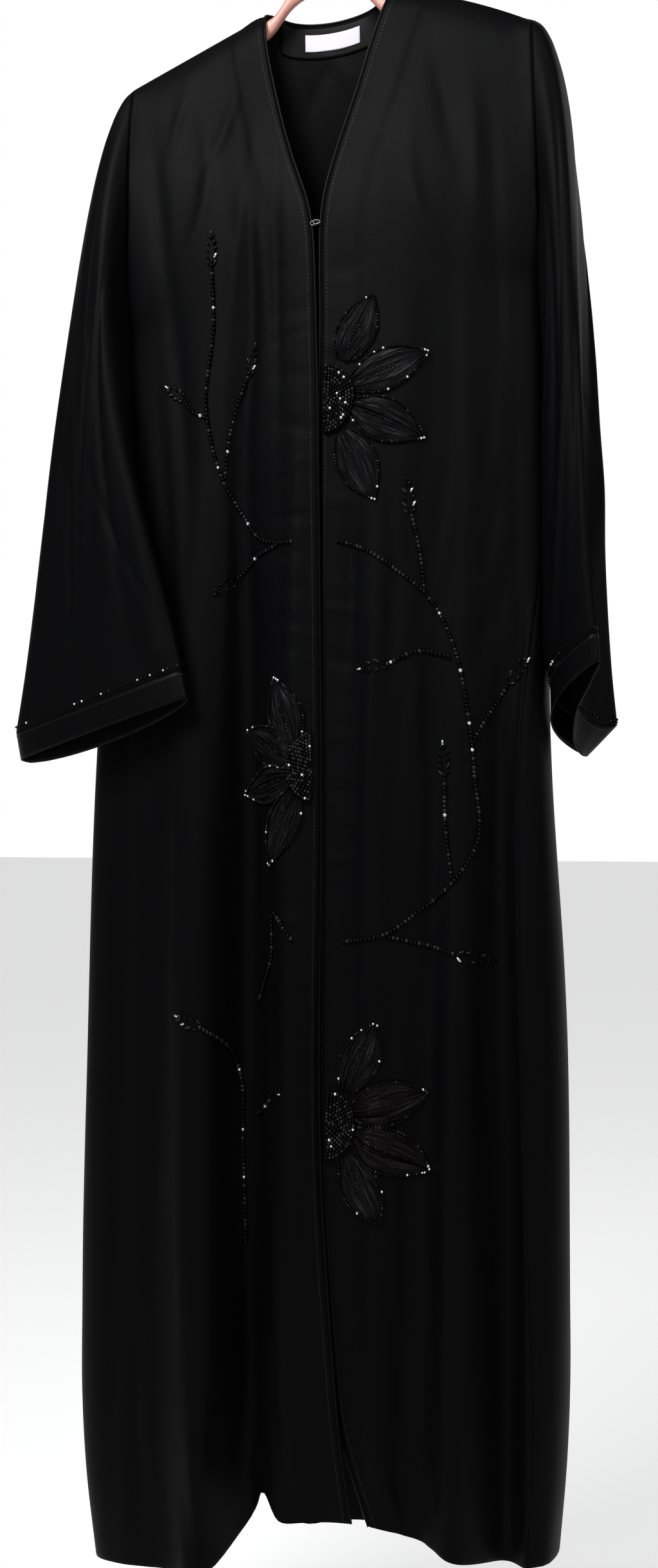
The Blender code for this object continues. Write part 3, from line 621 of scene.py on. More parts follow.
def relaxed(grid):
    """A panel without the plain model's kinks across it. Its sides stay where they are."""
    step = np.linalg.norm(np.diff(grid, axis=0), axis=2).mean()
    share = faded(grid.shape[1], 0, 8)[:, None] * 0.5
    for _ in range(int(2 * (SMOOTHED_OVER / step) ** 2)):
        grid[1:-1] += share * ((grid[:-2] + grid[2:]) / 2 - grid[1:-1])
    return grid


FACING_WIDTH = 0.036
FACING_STEP = 0.0008
STEP_SOFTNESS = 0.0012
PUCKERS_FROM, PUCKERS_TO = 0.36, 1.52


def facing_puckers(grid):
    """The facing's step and the puckers along an open edge, where it pulls at the cloth."""
    from_edge = lengths(grid, 1)
    step = -FACING_STEP / (1 + np.exp((FACING_WIDTH - from_edge) / STEP_SOFTNESS))
    puckers = []
    drop = PUCKERS_FROM
    while drop < PUCKERS_TO:
        slant = rng.uniform(72, 108)
        reach = rng.uniform(0.014, 0.028)
        width = rng.uniform(0.004, 0.008)
        rise = rng.choice((-1, -1, 1)) * rng.uniform(0.0003, 0.0010)
        place = rng.uniform(0.020, 0.032)
        bend = rng.uniform(-5, 5)
        puckers.append((place, drop, slant, reach, width, rise, bend))
        drop += rng.uniform(0.022, 0.052)
    return step + pressed(from_edge, -grid[:, :, 2], puckers)


# Over how many rows or columns the creases fade out: at a sleeve's or a cuff's two ends, at a
# panel's top and bottom, and at its sides.
TUBE_FADE = (3, 8)
TOP_FADE = (5, 0)
SIDE_FADE = 4

cloth = {}
normals = {}
for name, (rows, columns) in SIZES.items():
    closed = name in TUBES
    if closed and skins[name][0, 1, 1] > skins[name][0, 0, 1]:
        skins[name] = np.roll(skins[name][:, ::-1], 1, axis=1)
    grid = finer(skins[name], rows, columns, closed)
    if closed:
        across, down = lengths(grid, 1), lengths(grid, 0)
        around = across[:, -1:] * columns / (columns - 1)
        height = pressed(across * RING / around, down, CREASES.get(name, ()), RING)
        height *= faded(rows, *TUBE_FADE)[:, None] * RING / around
    else:
        grid = relaxed(grid)
        height = pressed(grid[:, :, 0], -grid[:, :, 2], CREASES[name])
        if name != "back":
            height += facing_puckers(grid)
        height *= faded(rows, *TOP_FADE)[:, None]
        height *= faded(columns, SIDE_FADE if name == "back" else 0, SIDE_FADE)
    cloth[name] = grid + outward(grid, closed) * height[:, :, None]
    normals[name] = outward(cloth[name], closed)
print("creased", sum(grid[:, :, 0].size for grid in cloth.values()), "points of cloth")

# %% [markdown]
# ## Sew the cloth pieces
# A garment is sewn from flat panels: two fronts, a back, two sleeves and two cuff bands. Each
# becomes a sheet as thick as real crepe, with its true edge. The outer face stands where the
# model's wall stands, so the seams meet as they do there.

# %% Sew the panels
CLOTH_THICKNESS = 0.0011
made = {}


def modify(piece, kind, **settings):
    """Apply one modifier to a piece."""
    modifier = piece.modifiers.new(kind.lower(), kind)
    for setting, value in settings.items():
        setattr(modifier, setting, value)
    bpy.context.view_layer.objects.active = piece
    bpy.ops.object.modifier_apply(modifier=modifier.name)


def pick(piece):
    """Select this piece alone."""
    bpy.ops.object.select_all(action="DESELECT")
    piece.select_set(True)
    bpy.context.view_layer.objects.active = piece


def keep(name, piece, finish):
    """Shade the picked piece smooth, give it its one finish and note it by name."""
    bpy.ops.object.shade_smooth()
    piece.data.materials.clear()
    piece.data.materials.append(finish.material)
    made[name] = piece
    return piece


def sheet_of(name, grid, thickness, finish, closed=False, facing=None):
    """A sheet of cloth over a grid of points, as thick as given behind it."""
    rows, columns = grid.shape[:2]
    facing = outward(grid, closed) if facing is None else facing
    if closed:
        grid = np.concatenate([grid, grid[:, :1]], axis=1)
        columns += 1
    bpy.ops.mesh.primitive_grid_add(x_subdivisions=columns - 1, y_subdivisions=rows - 1)
    piece = bpy.context.object
    piece.name = name
    piece.data.vertices.foreach_set("co", grid.reshape(-1))
    piece.data.update()
    lay = np.empty(3 * len(piece.data.polygons))
    piece.data.polygons.foreach_get("normal", lay)
    cells = facing[:-1, : columns - 1].reshape(-1, 3)
    bpy.ops.object.mode_set(mode="EDIT")
    bpy.ops.mesh.select_all(action="SELECT")
    if np.sum(lay.reshape(-1, 3) * cells) < 0:
        bpy.ops.mesh.flip_normals()
    if closed:
        bpy.ops.mesh.remove_doubles(threshold=1e-6)
    bpy.ops.object.mode_set(mode="OBJECT")
    modify(piece, "SOLIDIFY", thickness=thickness, offset=-1)
    return keep(name, piece, finish)


def place_piece(piece, slot, *nodes):
    """The piece moves with the cloak's one body and stands for these plain pieces."""
    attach(piece, "root")
    if nodes:
        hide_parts(*nodes)
    return piece


for name, grid in cloth.items():
    finish = satin if "cuff" in name else crepe
    piece = sheet_of(name + "_cloth", grid, CLOTH_THICKNESS, finish, name in TUBES)
    place_piece(piece, "satin" if "cuff" in name else "crepe", name)
print("sewed", ", ".join(made))

# %% [markdown]
# ## The side seams
# Inside a sewn garment each seam has an allowance, a narrow strip of cloth on both sides of
# the stitches. Pressed flat behind the seam, it keeps light from showing through. The strip
# follows the two panels' edges from the hem up, as far as they meet.

# %% Press the side seams
MEETS_WITHIN = 0.006
ALLOWANCE_DEPTH = CLOTH_THICKNESS + 0.0003
ALLOWANCE_THICKNESS = 0.0004


def unit(vectors):
    return vectors / np.linalg.norm(vectors, axis=-1, keepdims=True)


def at_height(grid, column, z, values):
    """The values down one column of a panel, at this height."""
    return np.array([np.interp(-z, -grid[:, column, 2], values[:, column, k]) for k in range(3)])


for side, edge, way in (("left", 0, 1), ("right", -1, -1)):
    front, back = cloth["front_" + side], cloth["back"]
    rows, outs = [], []
    for i in reversed(range(len(front))):
        z = front[i, -1, 2]
        beyond = at_height(back, edge, z, back)
        if np.linalg.norm(beyond - front[i, -1]) > MEETS_WITHIN:
            break
        points = [front[i, -3], front[i, -2], (front[i, -1] + beyond) / 2]
        out = [normals["front_" + side][i, k] for k in (-3, -2, -1)]
        for step in (1, 2):
            points.append(at_height(back, edge + way * step, z, back))
            out.append(at_height(back, edge + way * step, z, normals["back"]))
        out[2] = out[2] + at_height(back, edge, z, normals["back"])
        rows.append(points)
        outs.append(out)
    outs = unit(np.array(outs))
    strip = np.array(rows) - outs * ALLOWANCE_DEPTH
    seam = sheet_of("side_seam_" + side, strip, ALLOWANCE_THICKNESS, crepe, facing=outs)
    place_piece(seam, "crepe")
    print(side, "seam pressed over", len(rows), "rows")

# %% [markdown]
# ## The cuff seams
# Each cuff band is set on in the same way, with a narrow ring of cloth behind its seam. The
# ring runs from just above the band to a little below the band's top.

# %% Press the cuff seams
CUFF_SEAM_UP = 0.003

for side in ("left", "right"):
    band, out = cloth["cuff_" + side], normals["cuff_" + side]
    up = unit(band[0] - band[2]) * CUFF_SEAM_UP
    ring = np.array([band[0] + up, band[0] + up / 2, band[0], band[2]])
    outs = np.array([out[1]] * len(ring))
    strip = ring - outs * ALLOWANCE_DEPTH
    seam = sheet_of("cuff_seam_" + side, strip, ALLOWANCE_THICKNESS, crepe, True, outs)
    place_piece(seam, "crepe")
print("pressed the cuff seams")

# %% [markdown]
# ## Piping and stitches
# A narrow satin piping finishes the open edges and the neck. It is a bias strip folded round
# a cord, so here it is a tube that follows the edge of the fine cloth. A line of stitches
# holds the facing behind it. On each side of the opening the same two steps are repeated.

# %% Pipe the edges
PIPING_RADIUS = 0.0013
STITCH_FROM_EDGE = 0.0055


def tube_of(name, path, radius, finish, sides=3):
    """A round tube with closed ends along a line of points."""
    curve = bpy.data.curves.new(name, "CURVE")
    curve.dimensions = "3D"
    curve.bevel_depth = radius
    curve.bevel_resolution = sides
    curve.use_fill_caps = True
    spline = curve.splines.new("POLY")
    spline.points.add(len(path) - 1)
    spline.points.foreach_set("co", np.column_stack([path, np.ones(len(path))]).reshape(-1))
    piece = bpy.data.objects.new(name, curve)
    bpy.context.collection.objects.link(piece)
    pick(piece)
    bpy.ops.object.convert(target="MESH")
    return keep(name, bpy.context.object, finish)


for side in ("left", "right"):
    grid = cloth["front_" + side]
    way = unit(grid[:, 0] - grid[:, 1])
    path = grid[:, 0] + way * PIPING_RADIUS - normals["front_" + side][:, 0] * CLOTH_THICKNESS / 2
    piping = tube_of("edge_piping_" + side, path, PIPING_RADIUS, satin)
    place_piece(piping, "satin", "edge_binding_" + side)

back_top = cloth["back"][0]
neck_columns = [j for j, point in enumerate(back_top) if abs(point[0]) < NECK_HALF + 0.0005]
neck_edge = back_top[neck_columns]
path = neck_edge + (0, 0, PIPING_RADIUS) - normals["back"][0, neck_columns] * CLOTH_THICKNESS / 2
place_piece(tube_of("neck_piping", path, PIPING_RADIUS, satin), "satin", "neck_binding")
print("piped both edges and the neck")

# %% [markdown]
# ## How small things are repeated
# Thousands of beads and stitches would be slow to place one by one. Geometry Nodes copies one
# small shape to every point of a cloud. Each point carries the turn and the size of its copy.
# The copies are then realized, so that the result is an ordinary mesh.

# %% Build the scatter tool
def scatter_tool():
    """A node group that puts a copy of a shape on every point, turned and sized."""
    tree = bpy.data.node_groups.new("scatter", "GeometryNodeTree")
    tree.interface.new_socket("Points", in_out="INPUT", socket_type="NodeSocketGeometry")
    tree.interface.new_socket("Shape", in_out="INPUT", socket_type="NodeSocketObject")
    tree.interface.new_socket("Copies", in_out="OUTPUT", socket_type="NodeSocketGeometry")
    start = tree.nodes.new("NodeGroupInput")
    end = tree.nodes.new("NodeGroupOutput")
    shape = tree.nodes.new("GeometryNodeObjectInfo")
    place = tree.nodes.new("GeometryNodeInstanceOnPoints")
    realize = tree.nodes.new("GeometryNodeRealizeInstances")
    tree.links.new(start.outputs["Points"], place.inputs["Points"])
    tree.links.new(start.outputs["Shape"], shape.inputs["Object"])
    tree.links.new(shape.outputs["Geometry"], place.inputs["Instance"])
    for attribute, socket in (("turn", "Rotation"), ("size", "Scale")):
        read = tree.nodes.new("GeometryNodeInputNamedAttribute")
        read.data_type = "FLOAT_VECTOR"
        read.inputs["Name"].default_value = attribute
        tree.links.new(read.outputs["Attribute"], place.inputs[socket])
    tree.links.new(place.outputs["Instances"], realize.inputs["Geometry"])
    tree.links.new(realize.outputs["Geometry"], end.inputs["Copies"])
    return tree


scatter = scatter_tool()


def template(name, finish):
    """Name the active object as a shape to copy, smooth, and keep it out of sight."""
    shape = bpy.context.object
    shape.name = name
    bpy.ops.object.shade_smooth()
    shape.data.materials.append(finish.material)
    shape.hide_render = True
    return shape


def bead_shape(name, finish):
    bpy.ops.mesh.primitive_uv_sphere_add(segments=8, ring_count=6, radius=1)
    return template(name, finish)


shapes = {
    "jet": bead_shape("jet_bead", jet),
    "crystal": bead_shape("crystal_bead", crystal),
    "pewter": bead_shape("pewter_bead", pewter),
    "stitch": bead_shape("one_stitch", thread),
}


def frames_of(along, out):
    """The turn, as Euler angles, whose X runs along and whose Z points out."""
    x = unit(np.asarray(along, float))
    z = np.asarray(out, float)
    z = unit(z - x * np.sum(x * z, axis=-1, keepdims=True))
    y = np.cross(z, x)
    turn_z = np.arctan2(x[:, 1], x[:, 0])
    turn_y = np.arcsin(np.clip(-x[:, 2], -1, 1))
    turn_x = np.arctan2(y[:, 2], z[:, 2])
    return np.column_stack([turn_x, turn_y, turn_z])


def scattered(name, shape, places, along, out, sizes):
    """Copies of a shape at these places, as one mesh."""
    mesh = bpy.data.meshes.new(name)
    mesh.vertices.add(len(places))
    mesh.vertices.foreach_set("co", np.asarray(places, float).reshape(-1))
    for attribute, values in (("turn", frames_of(along, out)), ("size", np.asarray(sizes))):
        stored = mesh.attributes.new(attribute, "FLOAT_VECTOR", "POINT")
        stored.data.foreach_set("vector", values.reshape(-1))
    piece = bpy.data.objects.new(name, mesh)
    bpy.context.collection.objects.link(piece)
    modifier = piece.modifiers.new("scatter", "NODES")
    modifier.node_group = scatter
    modifier["Socket_1"] = shapes[shape]
    pick(piece)
    bpy.ops.object.modifier_apply(modifier="scatter")
    made[name] = piece
    return piece


print("scatter tool ready, with", len(shapes), "shapes")

# %% [markdown]
# ## The stitch lines
# A machine sews one stitch every few millimetres. The stitches run beside the piping and
# round the top of each cuff band, and each one dips into the cloth at both its ends.

# %% Sew the stitch lines
STITCH_PITCH = 0.0036
STITCH_SIZE = (0.0014, 0.00028, 0.00022)


def walked(path, pitch):
    """Even steps along a line of points: the places, and the way onward at each."""
    path = np.asarray(path, float)
    at = np.concatenate([[0], np.cumsum(np.linalg.norm(np.diff(path, axis=0), axis=1))])

    def reached(wanted):
        return np.column_stack([np.interp(wanted, at, path[:, k]) for k in range(3)])

    wanted = np.arange(pitch / 2, at[-1], pitch)
    onward = reached(wanted + pitch / 2) - reached(wanted - pitch / 2)
    return reached(wanted), unit(onward + 1e-12)


def out_at(places, node):
    """The cloth's normal nearest to each place."""
    points = cloth[node].reshape(-1, 3)
    facing = normals[node].reshape(-1, 3)
    nearest = [int(np.argmin(np.sum((points - place) ** 2, axis=1))) for place in places]
    return facing[nearest]


def inside_edge(grid, distance):
    """The line on a panel this far in from its open edge."""
    reach = lengths(grid, 1)
    return np.array([
        [np.interp(distance, reach[i], grid[i, :, k]) for k in range(3)] for i in range(len(grid))
    ])


def stitched(name, path, node):
    places, along = walked(path, STITCH_PITCH)
    out = out_at(places, node)
    sizes = np.tile(STITCH_SIZE, (len(places), 1))
    return place_piece(scattered(name, "stitch", places, along, out, sizes), "satin")


for side in ("left", "right"):
    edge = inside_edge(cloth["front_" + side], STITCH_FROM_EDGE)
    stitched("edge_stitches_" + side, edge, "front_" + side)
    ring = cloth["cuff_" + side][1]
    stitched("cuff_stitches_" + side, np.concatenate([ring, ring[:1]]), "cuff_" + side)
print("sewed 4 stitch lines")

# %% [markdown]
# ## Where things lie on the fronts
# Petals and beads are sewn onto the creased fronts. A ray sent at the cloth from in front
# finds the exact place and the way out of the cloth there, so that every bead touches it.

# %% Find places on the cloth
HANGER_TILT = math.radians(4.4)
RAY_START = -0.4
FRONT_DEPTH = -0.09
touch = {
    name: BVHTree.FromPolygons(
        [tuple(v.co) for v in made[name + "_cloth"].data.vertices],
        [tuple(p.vertices) for p in made[name + "_cloth"].data.polygons],
    )
    for name in ("front_left", "front_right")
}


def on_front(side, x, z, lift=0.0):
    """The place on a front at x and z, lifted off the cloth, and the way out of the cloth."""
    tree = touch["front_" + side]
    hit, out, _, _ = tree.ray_cast(Vector((x, RAY_START, z)), Vector((0, 1, 0)))
    if hit is None:
        hit, out, _, _ = tree.find_nearest(Vector((x, FRONT_DEPTH, z)))
    if out.y > 0:
        out = -out
    return np.array(hit + out * lift), np.array(out)


def hung_z(x, down):
    """The height of a place of the garment's own frame, on the tilted hanger."""
    return -down + x * math.tan(HANGER_TILT) - NECK_DOWN


def laid(side, flat, lift=0.0):
    """Places on a front for flat (x, down) pairs, and the ways out of the cloth."""
    found = [on_front(side, x, hung_z(x, down), lift) for x, down in flat]
    return np.array([hit for hit, _ in found]), np.array([out for _, out in found])


def rounded(points, count):
    """A smooth curve of this many points through a few."""
    grid = np.array(points, float)[:, None]
    return evened(np.concatenate([grid, grid * 0], axis=2)[:, :, :3], count)[:, 0, :2]


print("ready to lay pieces on", len(touch), "fronts")

# %% [markdown]
# ## Gathered petals
# Each petal is a leaf of organza, gathered at its foot and sewn down along its outline, so
# that it puffs up a little between its edges. Pleats fan out from the foot. The petal is a
# grid that is narrow at the foot, full in the middle and pointed at the tip.

# %% Make the petals
# Foot across and down, half width, tip across and down, and the front that carries it.
PETALS = {
    "petal_1_top": (0.031, 0.350, 0.0190, 0.056, 0.297, "left"),
    "petal_1_upper": (0.044, 0.377, 0.0195, 0.108, 0.356, "left"),
    "petal_1_lower": (0.044, 0.403, 0.0195, 0.104, 0.436, "left"),
    "petal_1_bottom": (0.031, 0.430, 0.0190, 0.060, 0.490, "left"),
    "petal_2_top": (-0.017, 0.704, 0.0168, -0.036, 0.646, "right"),
    "petal_2_upper": (-0.022, 0.722, 0.0168, -0.072, 0.690, "right"),
    "petal_2_lower": (-0.022, 0.742, 0.0168, -0.076, 0.752, "right"),
    "petal_2_bottom": (-0.017, 0.762, 0.0168, -0.042, 0.822, "right"),
    "petal_3_top": (0.038, 1.028, 0.0188, 0.065, 0.972, "left"),
    "petal_3_upper": (0.050, 1.052, 0.0195, 0.110, 1.040, "left"),
    "petal_3_lower": (0.050, 1.078, 0.0195, 0.114, 1.112, "left"),
    "petal_3_bottom": (0.038, 1.102, 0.0188, 0.068, 1.156, "left"),
}
PETAL_ROWS, PETAL_COLUMNS = 48, 46
FOOT_SHARE = -0.12
PETAL_PUFF = 0.0026
PLEATS = 18
PLEAT_HEIGHT = 0.0019
LEAST_LIFT = 0.0002
FORWARD = (0, -0.0005, 0)
ORGANZA_THICKNESS = 0.0002


def petal_half(t):
    """A petal's half width at each share of its length, as a share of the full one."""
    return np.sin(np.pi * (0.2 + 0.8 * np.clip(t, -0.2, 1))) ** 0.95 + 0.004


def petal_flat(foot_x, foot_down, half, tip_x, tip_down, t, s):
    """The flat place at a share of a petal's length and a share of its half width."""
    foot, tip = np.array([foot_x, foot_down]), np.array([tip_x, tip_down])
    way = tip - foot
    aside = np.array([way[1], -way[0]]) / np.hypot(*way)
    return foot + way * t + aside * half * petal_half(np.asarray(t)) * s


outlines = {}
for name, (*sizes, side) in PETALS.items():
    pleats = [
        (rng.uniform(-0.9, 0.9), rng.uniform(0.05, 0.12), rng.uniform(-1, 1)) for _ in range(PLEATS)
    ]
    grid = np.zeros((PETAL_ROWS, PETAL_COLUMNS, 3))
    for i, t in enumerate(np.linspace(FOOT_SHARE, 1, PETAL_ROWS)):
        ss = np.linspace(-1, 1, PETAL_COLUMNS)
        points, out = laid(side, [petal_flat(*sizes, t, s) for s in ss])
        puff = PETAL_PUFF * (1 - ss**4) * math.sin(math.pi * (0.13 + 0.87 * t)) ** 0.5
        lines = sum(
            depth * np.exp(-(((ss - place * (1 - 0.25 * math.sin(3 * t + depth))) / width) ** 2))
            for place, width, depth in pleats
        )
        pleat = PLEAT_HEIGHT * lines * (1 - ss**2) * (1 - 0.45 * t)
        grid[i] = points + out * np.maximum(puff + pleat, LEAST_LIFT)[:, None] + FORWARD
    finish = wine_organza if name in ("petal_3_upper", "petal_3_lower") else organza
    facing = np.tile((0.0, -1.0, 0.0), (*grid.shape[:2], 1))
    petal = sheet_of(name + "_organza", grid, ORGANZA_THICKNESS, finish, facing=facing)
    place_piece(petal, "organza", name)
    border = np.concatenate([grid[1:, -1], grid[-2:0:-1, 0]])
    outlines[name] = (border, side, grid[-1].mean(axis=0))
print("gathered", len(outlines), "petals")

# %% [markdown]
# ## Beads round each petal
# A string of small round beads is sewn along every petal's edge. Most beads are jet black.
# A few are clear crystals, most of them at the tip, and those are the sparks in the picture.

# %% Bead the petals
BEAD = 0.00142
BEAD_PITCH = 0.0030
VEIN_BEAD = 0.0010
VEIN_PITCH = 0.0031
TIP_REACH = 0.007


def bead_line(path, side, pitch=BEAD_PITCH, bead=BEAD, lift=0.6):
    """Beads on a line, lifted by a share of a bead: places, ways along, ways out and sizes."""
    places, along = walked(path, pitch)
    found = [on_front(side, place[0], place[2], bead * lift) for place in places]
    out = np.array([facing for _, facing in found])
    sizes = np.array([[bead * rng.uniform(0.85, 1.12)] * 3 for _ in places])
    return np.array([hit for hit, _ in found]), along, out, sizes


def strung(name, kinds, chosen, slot="beadwork"):
    """One mesh of beads for each kind: its places, ways along, ways out and sizes."""
    for kind in sorted(set(kinds)):
        picked = [i for i, other in enumerate(kinds) if other == kind]
        piece = scattered(name + "_" + kind, kind, *[values[picked] for values in chosen])
        place_piece(piece, slot)


def kinds_of(count, crystal_share, pewter_share=0.12):
    """A random kind for each bead."""
    found = []
    for _ in range(count):
        draw = rng.random()
        other = "pewter" if draw < crystal_share + pewter_share else "jet"
        found.append("crystal" if draw < crystal_share else other)
    return found


def gathered(parts):
    return [np.concatenate(values) for values in zip(*parts)]


for flower in ("1", "2", "3"):
    parts, kinds = [], []
    for name, (border, side, tip) in outlines.items():
        if name.split("_")[1] != flower:
            continue
        line = bead_line(border, side, lift=1.3)
        near_tip = np.linalg.norm(line[0] - tip, axis=1) < TIP_REACH
        for near in near_tip:
            kinds += kinds_of(1, 0.34 if near else 0.03, 0.2)
        parts.append(line)
        middle = [petal_flat(*PETALS[name][:5], t, 0.0) for t in np.linspace(0.08, 0.55, 9)]
        vein, _ = laid(side, middle)
        line = bead_line(vein, side, VEIN_PITCH, VEIN_BEAD, lift=3.4)
        kinds += kinds_of(len(line[0]), 0.02, 0.3)
        parts.append(line)
    strung("petal_beads_" + flower, kinds, gathered(parts))
print("beaded the petals of 3 flowers")

# %% [markdown]
# ## The flowers' hearts
# Half a disc at the opening's edge is packed with beads. They are sewn in arcs from the rim
# inward, each arc a little smaller, on a scrap of satin that holds them.

# %% Fill the hearts
# The straight side's place, its top and bottom, how far the half disc reaches, and its front.
HEARTS = {
    "heart_1": (0.0095, 0.358, 0.422, 0.030, "left"),
    "heart_2": (0.0020, 0.700, 0.764, -0.022, "right"),
    "heart_3": (0.0150, 1.034, 1.096, 0.030, "left"),
}
HEART_ROWS, HEART_COLUMNS = 25, 13
HEART_LIFT = 0.0028
HEART_THICKNESS = 0.0016
HEART_BEAD = 0.00165
ARC_PITCH = 0.0034
ARC_STEP = ARC_PITCH * 0.92
RIM_INSET = 0.001
LEAST_ARC = 0.003


def heart_flat(x, top, bottom, reach, t, s):
    """The flat place in a half disc at an angle's share and a share of its radius."""
    turn = math.pi * t
    middle, half = (top + bottom) / 2, (bottom - top) / 2
    return x + reach * s * math.sin(turn), middle - half * s * math.cos(turn)


for name, (*sizes, side) in HEARTS.items():
    grid = np.zeros((HEART_ROWS, HEART_COLUMNS, 3))
    for i, t in enumerate(np.linspace(0, 1, HEART_ROWS)):
        flat = [heart_flat(*sizes, t, s) for s in np.linspace(0.04, 1, HEART_COLUMNS)]
        points, out = laid(side, flat)
        grid[i] = points + out * HEART_LIFT
    facing = np.tile((0.0, -1.0, 0.0), (*grid.shape[:2], 1))
    ground = sheet_of(name + "_ground", grid, HEART_THICKNESS, satin, facing=facing)
    place_piece(ground, "beadwork", name)
    half = (sizes[2] - sizes[1]) / 2
    parts = []
    radius = half - RIM_INSET
    while radius > LEAST_ARC:
        share = radius / half
        arc = [heart_flat(*sizes, t, share) for t in np.linspace(0.015, 0.985, 40)]
        points, _ = laid(side, arc)
        parts.append(bead_line(points, side, ARC_PITCH, HEART_BEAD, lift=2.5))
        radius -= ARC_STEP
    chosen = gathered(parts)
    strung(name + "_beads", kinds_of(len(chosen[0]), 0.035, 0.42), chosen)
print("filled", len(HEARTS), "hearts")

# %% [markdown]
# ## Beaded sprigs
# Thin stems of round beads wind between the flowers. Each ends in a bud like an ear of wheat,
# of long beads that lie in pairs on a slant. The stems are drawn through a few points, as an
# ordinary leafy spray, and every point is then laid on the cloth.

# %% Bead the sprigs
# Each stem: its front, and places across and down, all in the garment's own frame.
STEMS = (
    ("right", ((-0.104, 0.240), (-0.101, 0.300), (-0.107, 0.385), (-0.095, 0.440), (-0.072, 0.490),
               (-0.050, 0.515), (-0.032, 0.520), (-0.018, 0.521))),
    ("right", ((-0.134, 0.368), (-0.122, 0.384), (-0.108, 0.392))),
    ("right", ((-0.066, 0.352), (-0.074, 0.372), (-0.084, 0.410), (-0.088, 0.452))),
    ("right", ((-0.034, 0.521), (-0.058, 0.530), (-0.080, 0.548))),
    ("left", ((0.022, 0.524), (0.045, 0.532), (0.076, 0.554), (0.106, 0.582), (0.132, 0.632),
              (0.144, 0.690), (0.150, 0.750), (0.151, 0.820), (0.130, 0.852), (0.103, 0.872),
              (0.072, 0.892), (0.032, 0.897))),
    ("left", ((0.092, 0.502), (0.100, 0.540), (0.104, 0.578))),
    ("left", ((0.070, 0.644), (0.100, 0.634), (0.130, 0.642))),
    ("left", ((0.182, 0.668), (0.164, 0.694), (0.148, 0.722))),
    ("left", ((0.124, 0.748), (0.125, 0.790), (0.132, 0.846))),
    ("left", ((0.140, 0.916), (0.105, 0.904), (0.072, 0.894))),
    ("right", ((-0.014, 0.892), (-0.036, 0.866), (-0.038, 0.905), (-0.058, 0.950))),
    ("right", ((-0.104, 0.966), (-0.090, 0.980), (-0.078, 1.016), (-0.075, 1.080), (-0.072, 1.178))),
    ("right", ((-0.038, 1.040), (-0.050, 1.050), (-0.060, 1.056))),
)
# Each bud: its front, its tip, its foot, and how many pairs of beads it has.
BUDS = (
    ("right", (-0.105, 0.214), (-0.104, 0.246), 5),
    ("right", (-0.150, 0.356), (-0.132, 0.370), 4),
    ("right", (-0.060, 0.328), (-0.067, 0.356), 5),
    ("right", (-0.096, 0.562), (-0.078, 0.546), 4),
    ("left", (0.089, 0.474), (0.092, 0.506), 5),
    ("left", (0.046, 0.646), (0.072, 0.643), 4),
    ("left", (0.200, 0.646), (0.180, 0.670), 5),
    ("left", (0.122, 0.720), (0.124, 0.750), 5),
    ("left", (0.166, 0.924), (0.138, 0.916), 5),
    ("right", (-0.126, 0.956), (-0.103, 0.967), 4),
    ("right", (-0.026, 1.030), (-0.039, 1.041), 3),
)
STEM_BEAD = 0.00205
STEM_PITCH = 0.0041
BUGLE = (0.0030, 0.00120, 0.00120)
BUD_HALF = 0.0042
BUGLE_SLANT = 0.6

parts, kinds = [], []
for side, flat in STEMS:
    points, _ = laid(side, rounded(flat, 12 * len(flat)))
    line = bead_line(points, side, STEM_PITCH, STEM_BEAD)
    kinds += kinds_of(len(line[0]), 0.035, 0.3)
    parts.append(line)
strung("stem_beads", kinds, gathered(parts))

places, ways, outs, sizes = [], [], [], []
for side, tip, foot, pairs in BUDS:
    tip, foot = np.array(tip), np.array(foot)
    way = (tip - foot) / np.hypot(*(tip - foot))
    aside = np.array([way[1], -way[0]])
    spots = [(tip, way, 1.0)]
    for k in range(pairs):
        share = (k + 0.4) / pairs
        spread = BUD_HALF * math.sin(math.pi * (0.25 + 0.7 * share))
        for hand in (-1, 1):
            slant = way * math.cos(BUGLE_SLANT) + hand * aside * math.sin(BUGLE_SLANT)
            spot = foot + (tip - foot) * share + hand * aside * spread
            spots.append((spot, slant, rng.uniform(0.85, 1.15)))
    for spot, slant, size in spots:
        flat = [spot - slant * 0.002, spot, spot + slant * 0.002]
        points, out = laid(side, flat, BUGLE[1])
        places.append(points[1])
        ways.append(points[2] - points[0])
        outs.append(out[1])
        sizes.append(np.array(BUGLE) * size)
chosen = [np.array(values) for values in (places, ways, outs, sizes)]
strung("bud_beads", kinds_of(len(places), 0.08, 0.35), chosen)
print("beaded", len(STEMS), "stems and", len(BUDS), "buds")

# %% [markdown]
# ## Beads above the cuffs
# One more string of beads runs round each sleeve, just above its satin band. Every few
# beads there is a crystal.

# %% Bead the cuffs
CUFF_BEAD = 0.00135
CUFF_PITCH = 0.0046
ABOVE_BAND = 0.0045

for side in ("left", "right"):
    sleeve = cloth["sleeve_" + side]
    up = unit(sleeve[-4] - sleeve[-1])
    ring = sleeve[-1] + up * ABOVE_BAND
    places, along = walked(np.concatenate([ring, ring[:1]]), CUFF_PITCH)
    out = out_at(places, "sleeve_" + side)
    sizes = np.array([[CUFF_BEAD * rng.uniform(0.85, 1.1)] * 3 for _ in places])
    kinds = kinds_of(len(places), 0.12, 0.15)
    strung("cuff_beads_" + side, kinds, [places + out * CUFF_BEAD * 0.6, along, out, sizes])
print("beaded both cuffs")

# %% [markdown]
# ## Inside the neck
# A facing of satin finishes the back of the neck inside, and a woven label is sewn to it. Both
# lie against the back panel's inner face. The label is left bare.

# %% Face the neck
FACING_LIFT = 0.0023
LABEL_LIFT = 0.0032
INSIDE_ROWS = 30


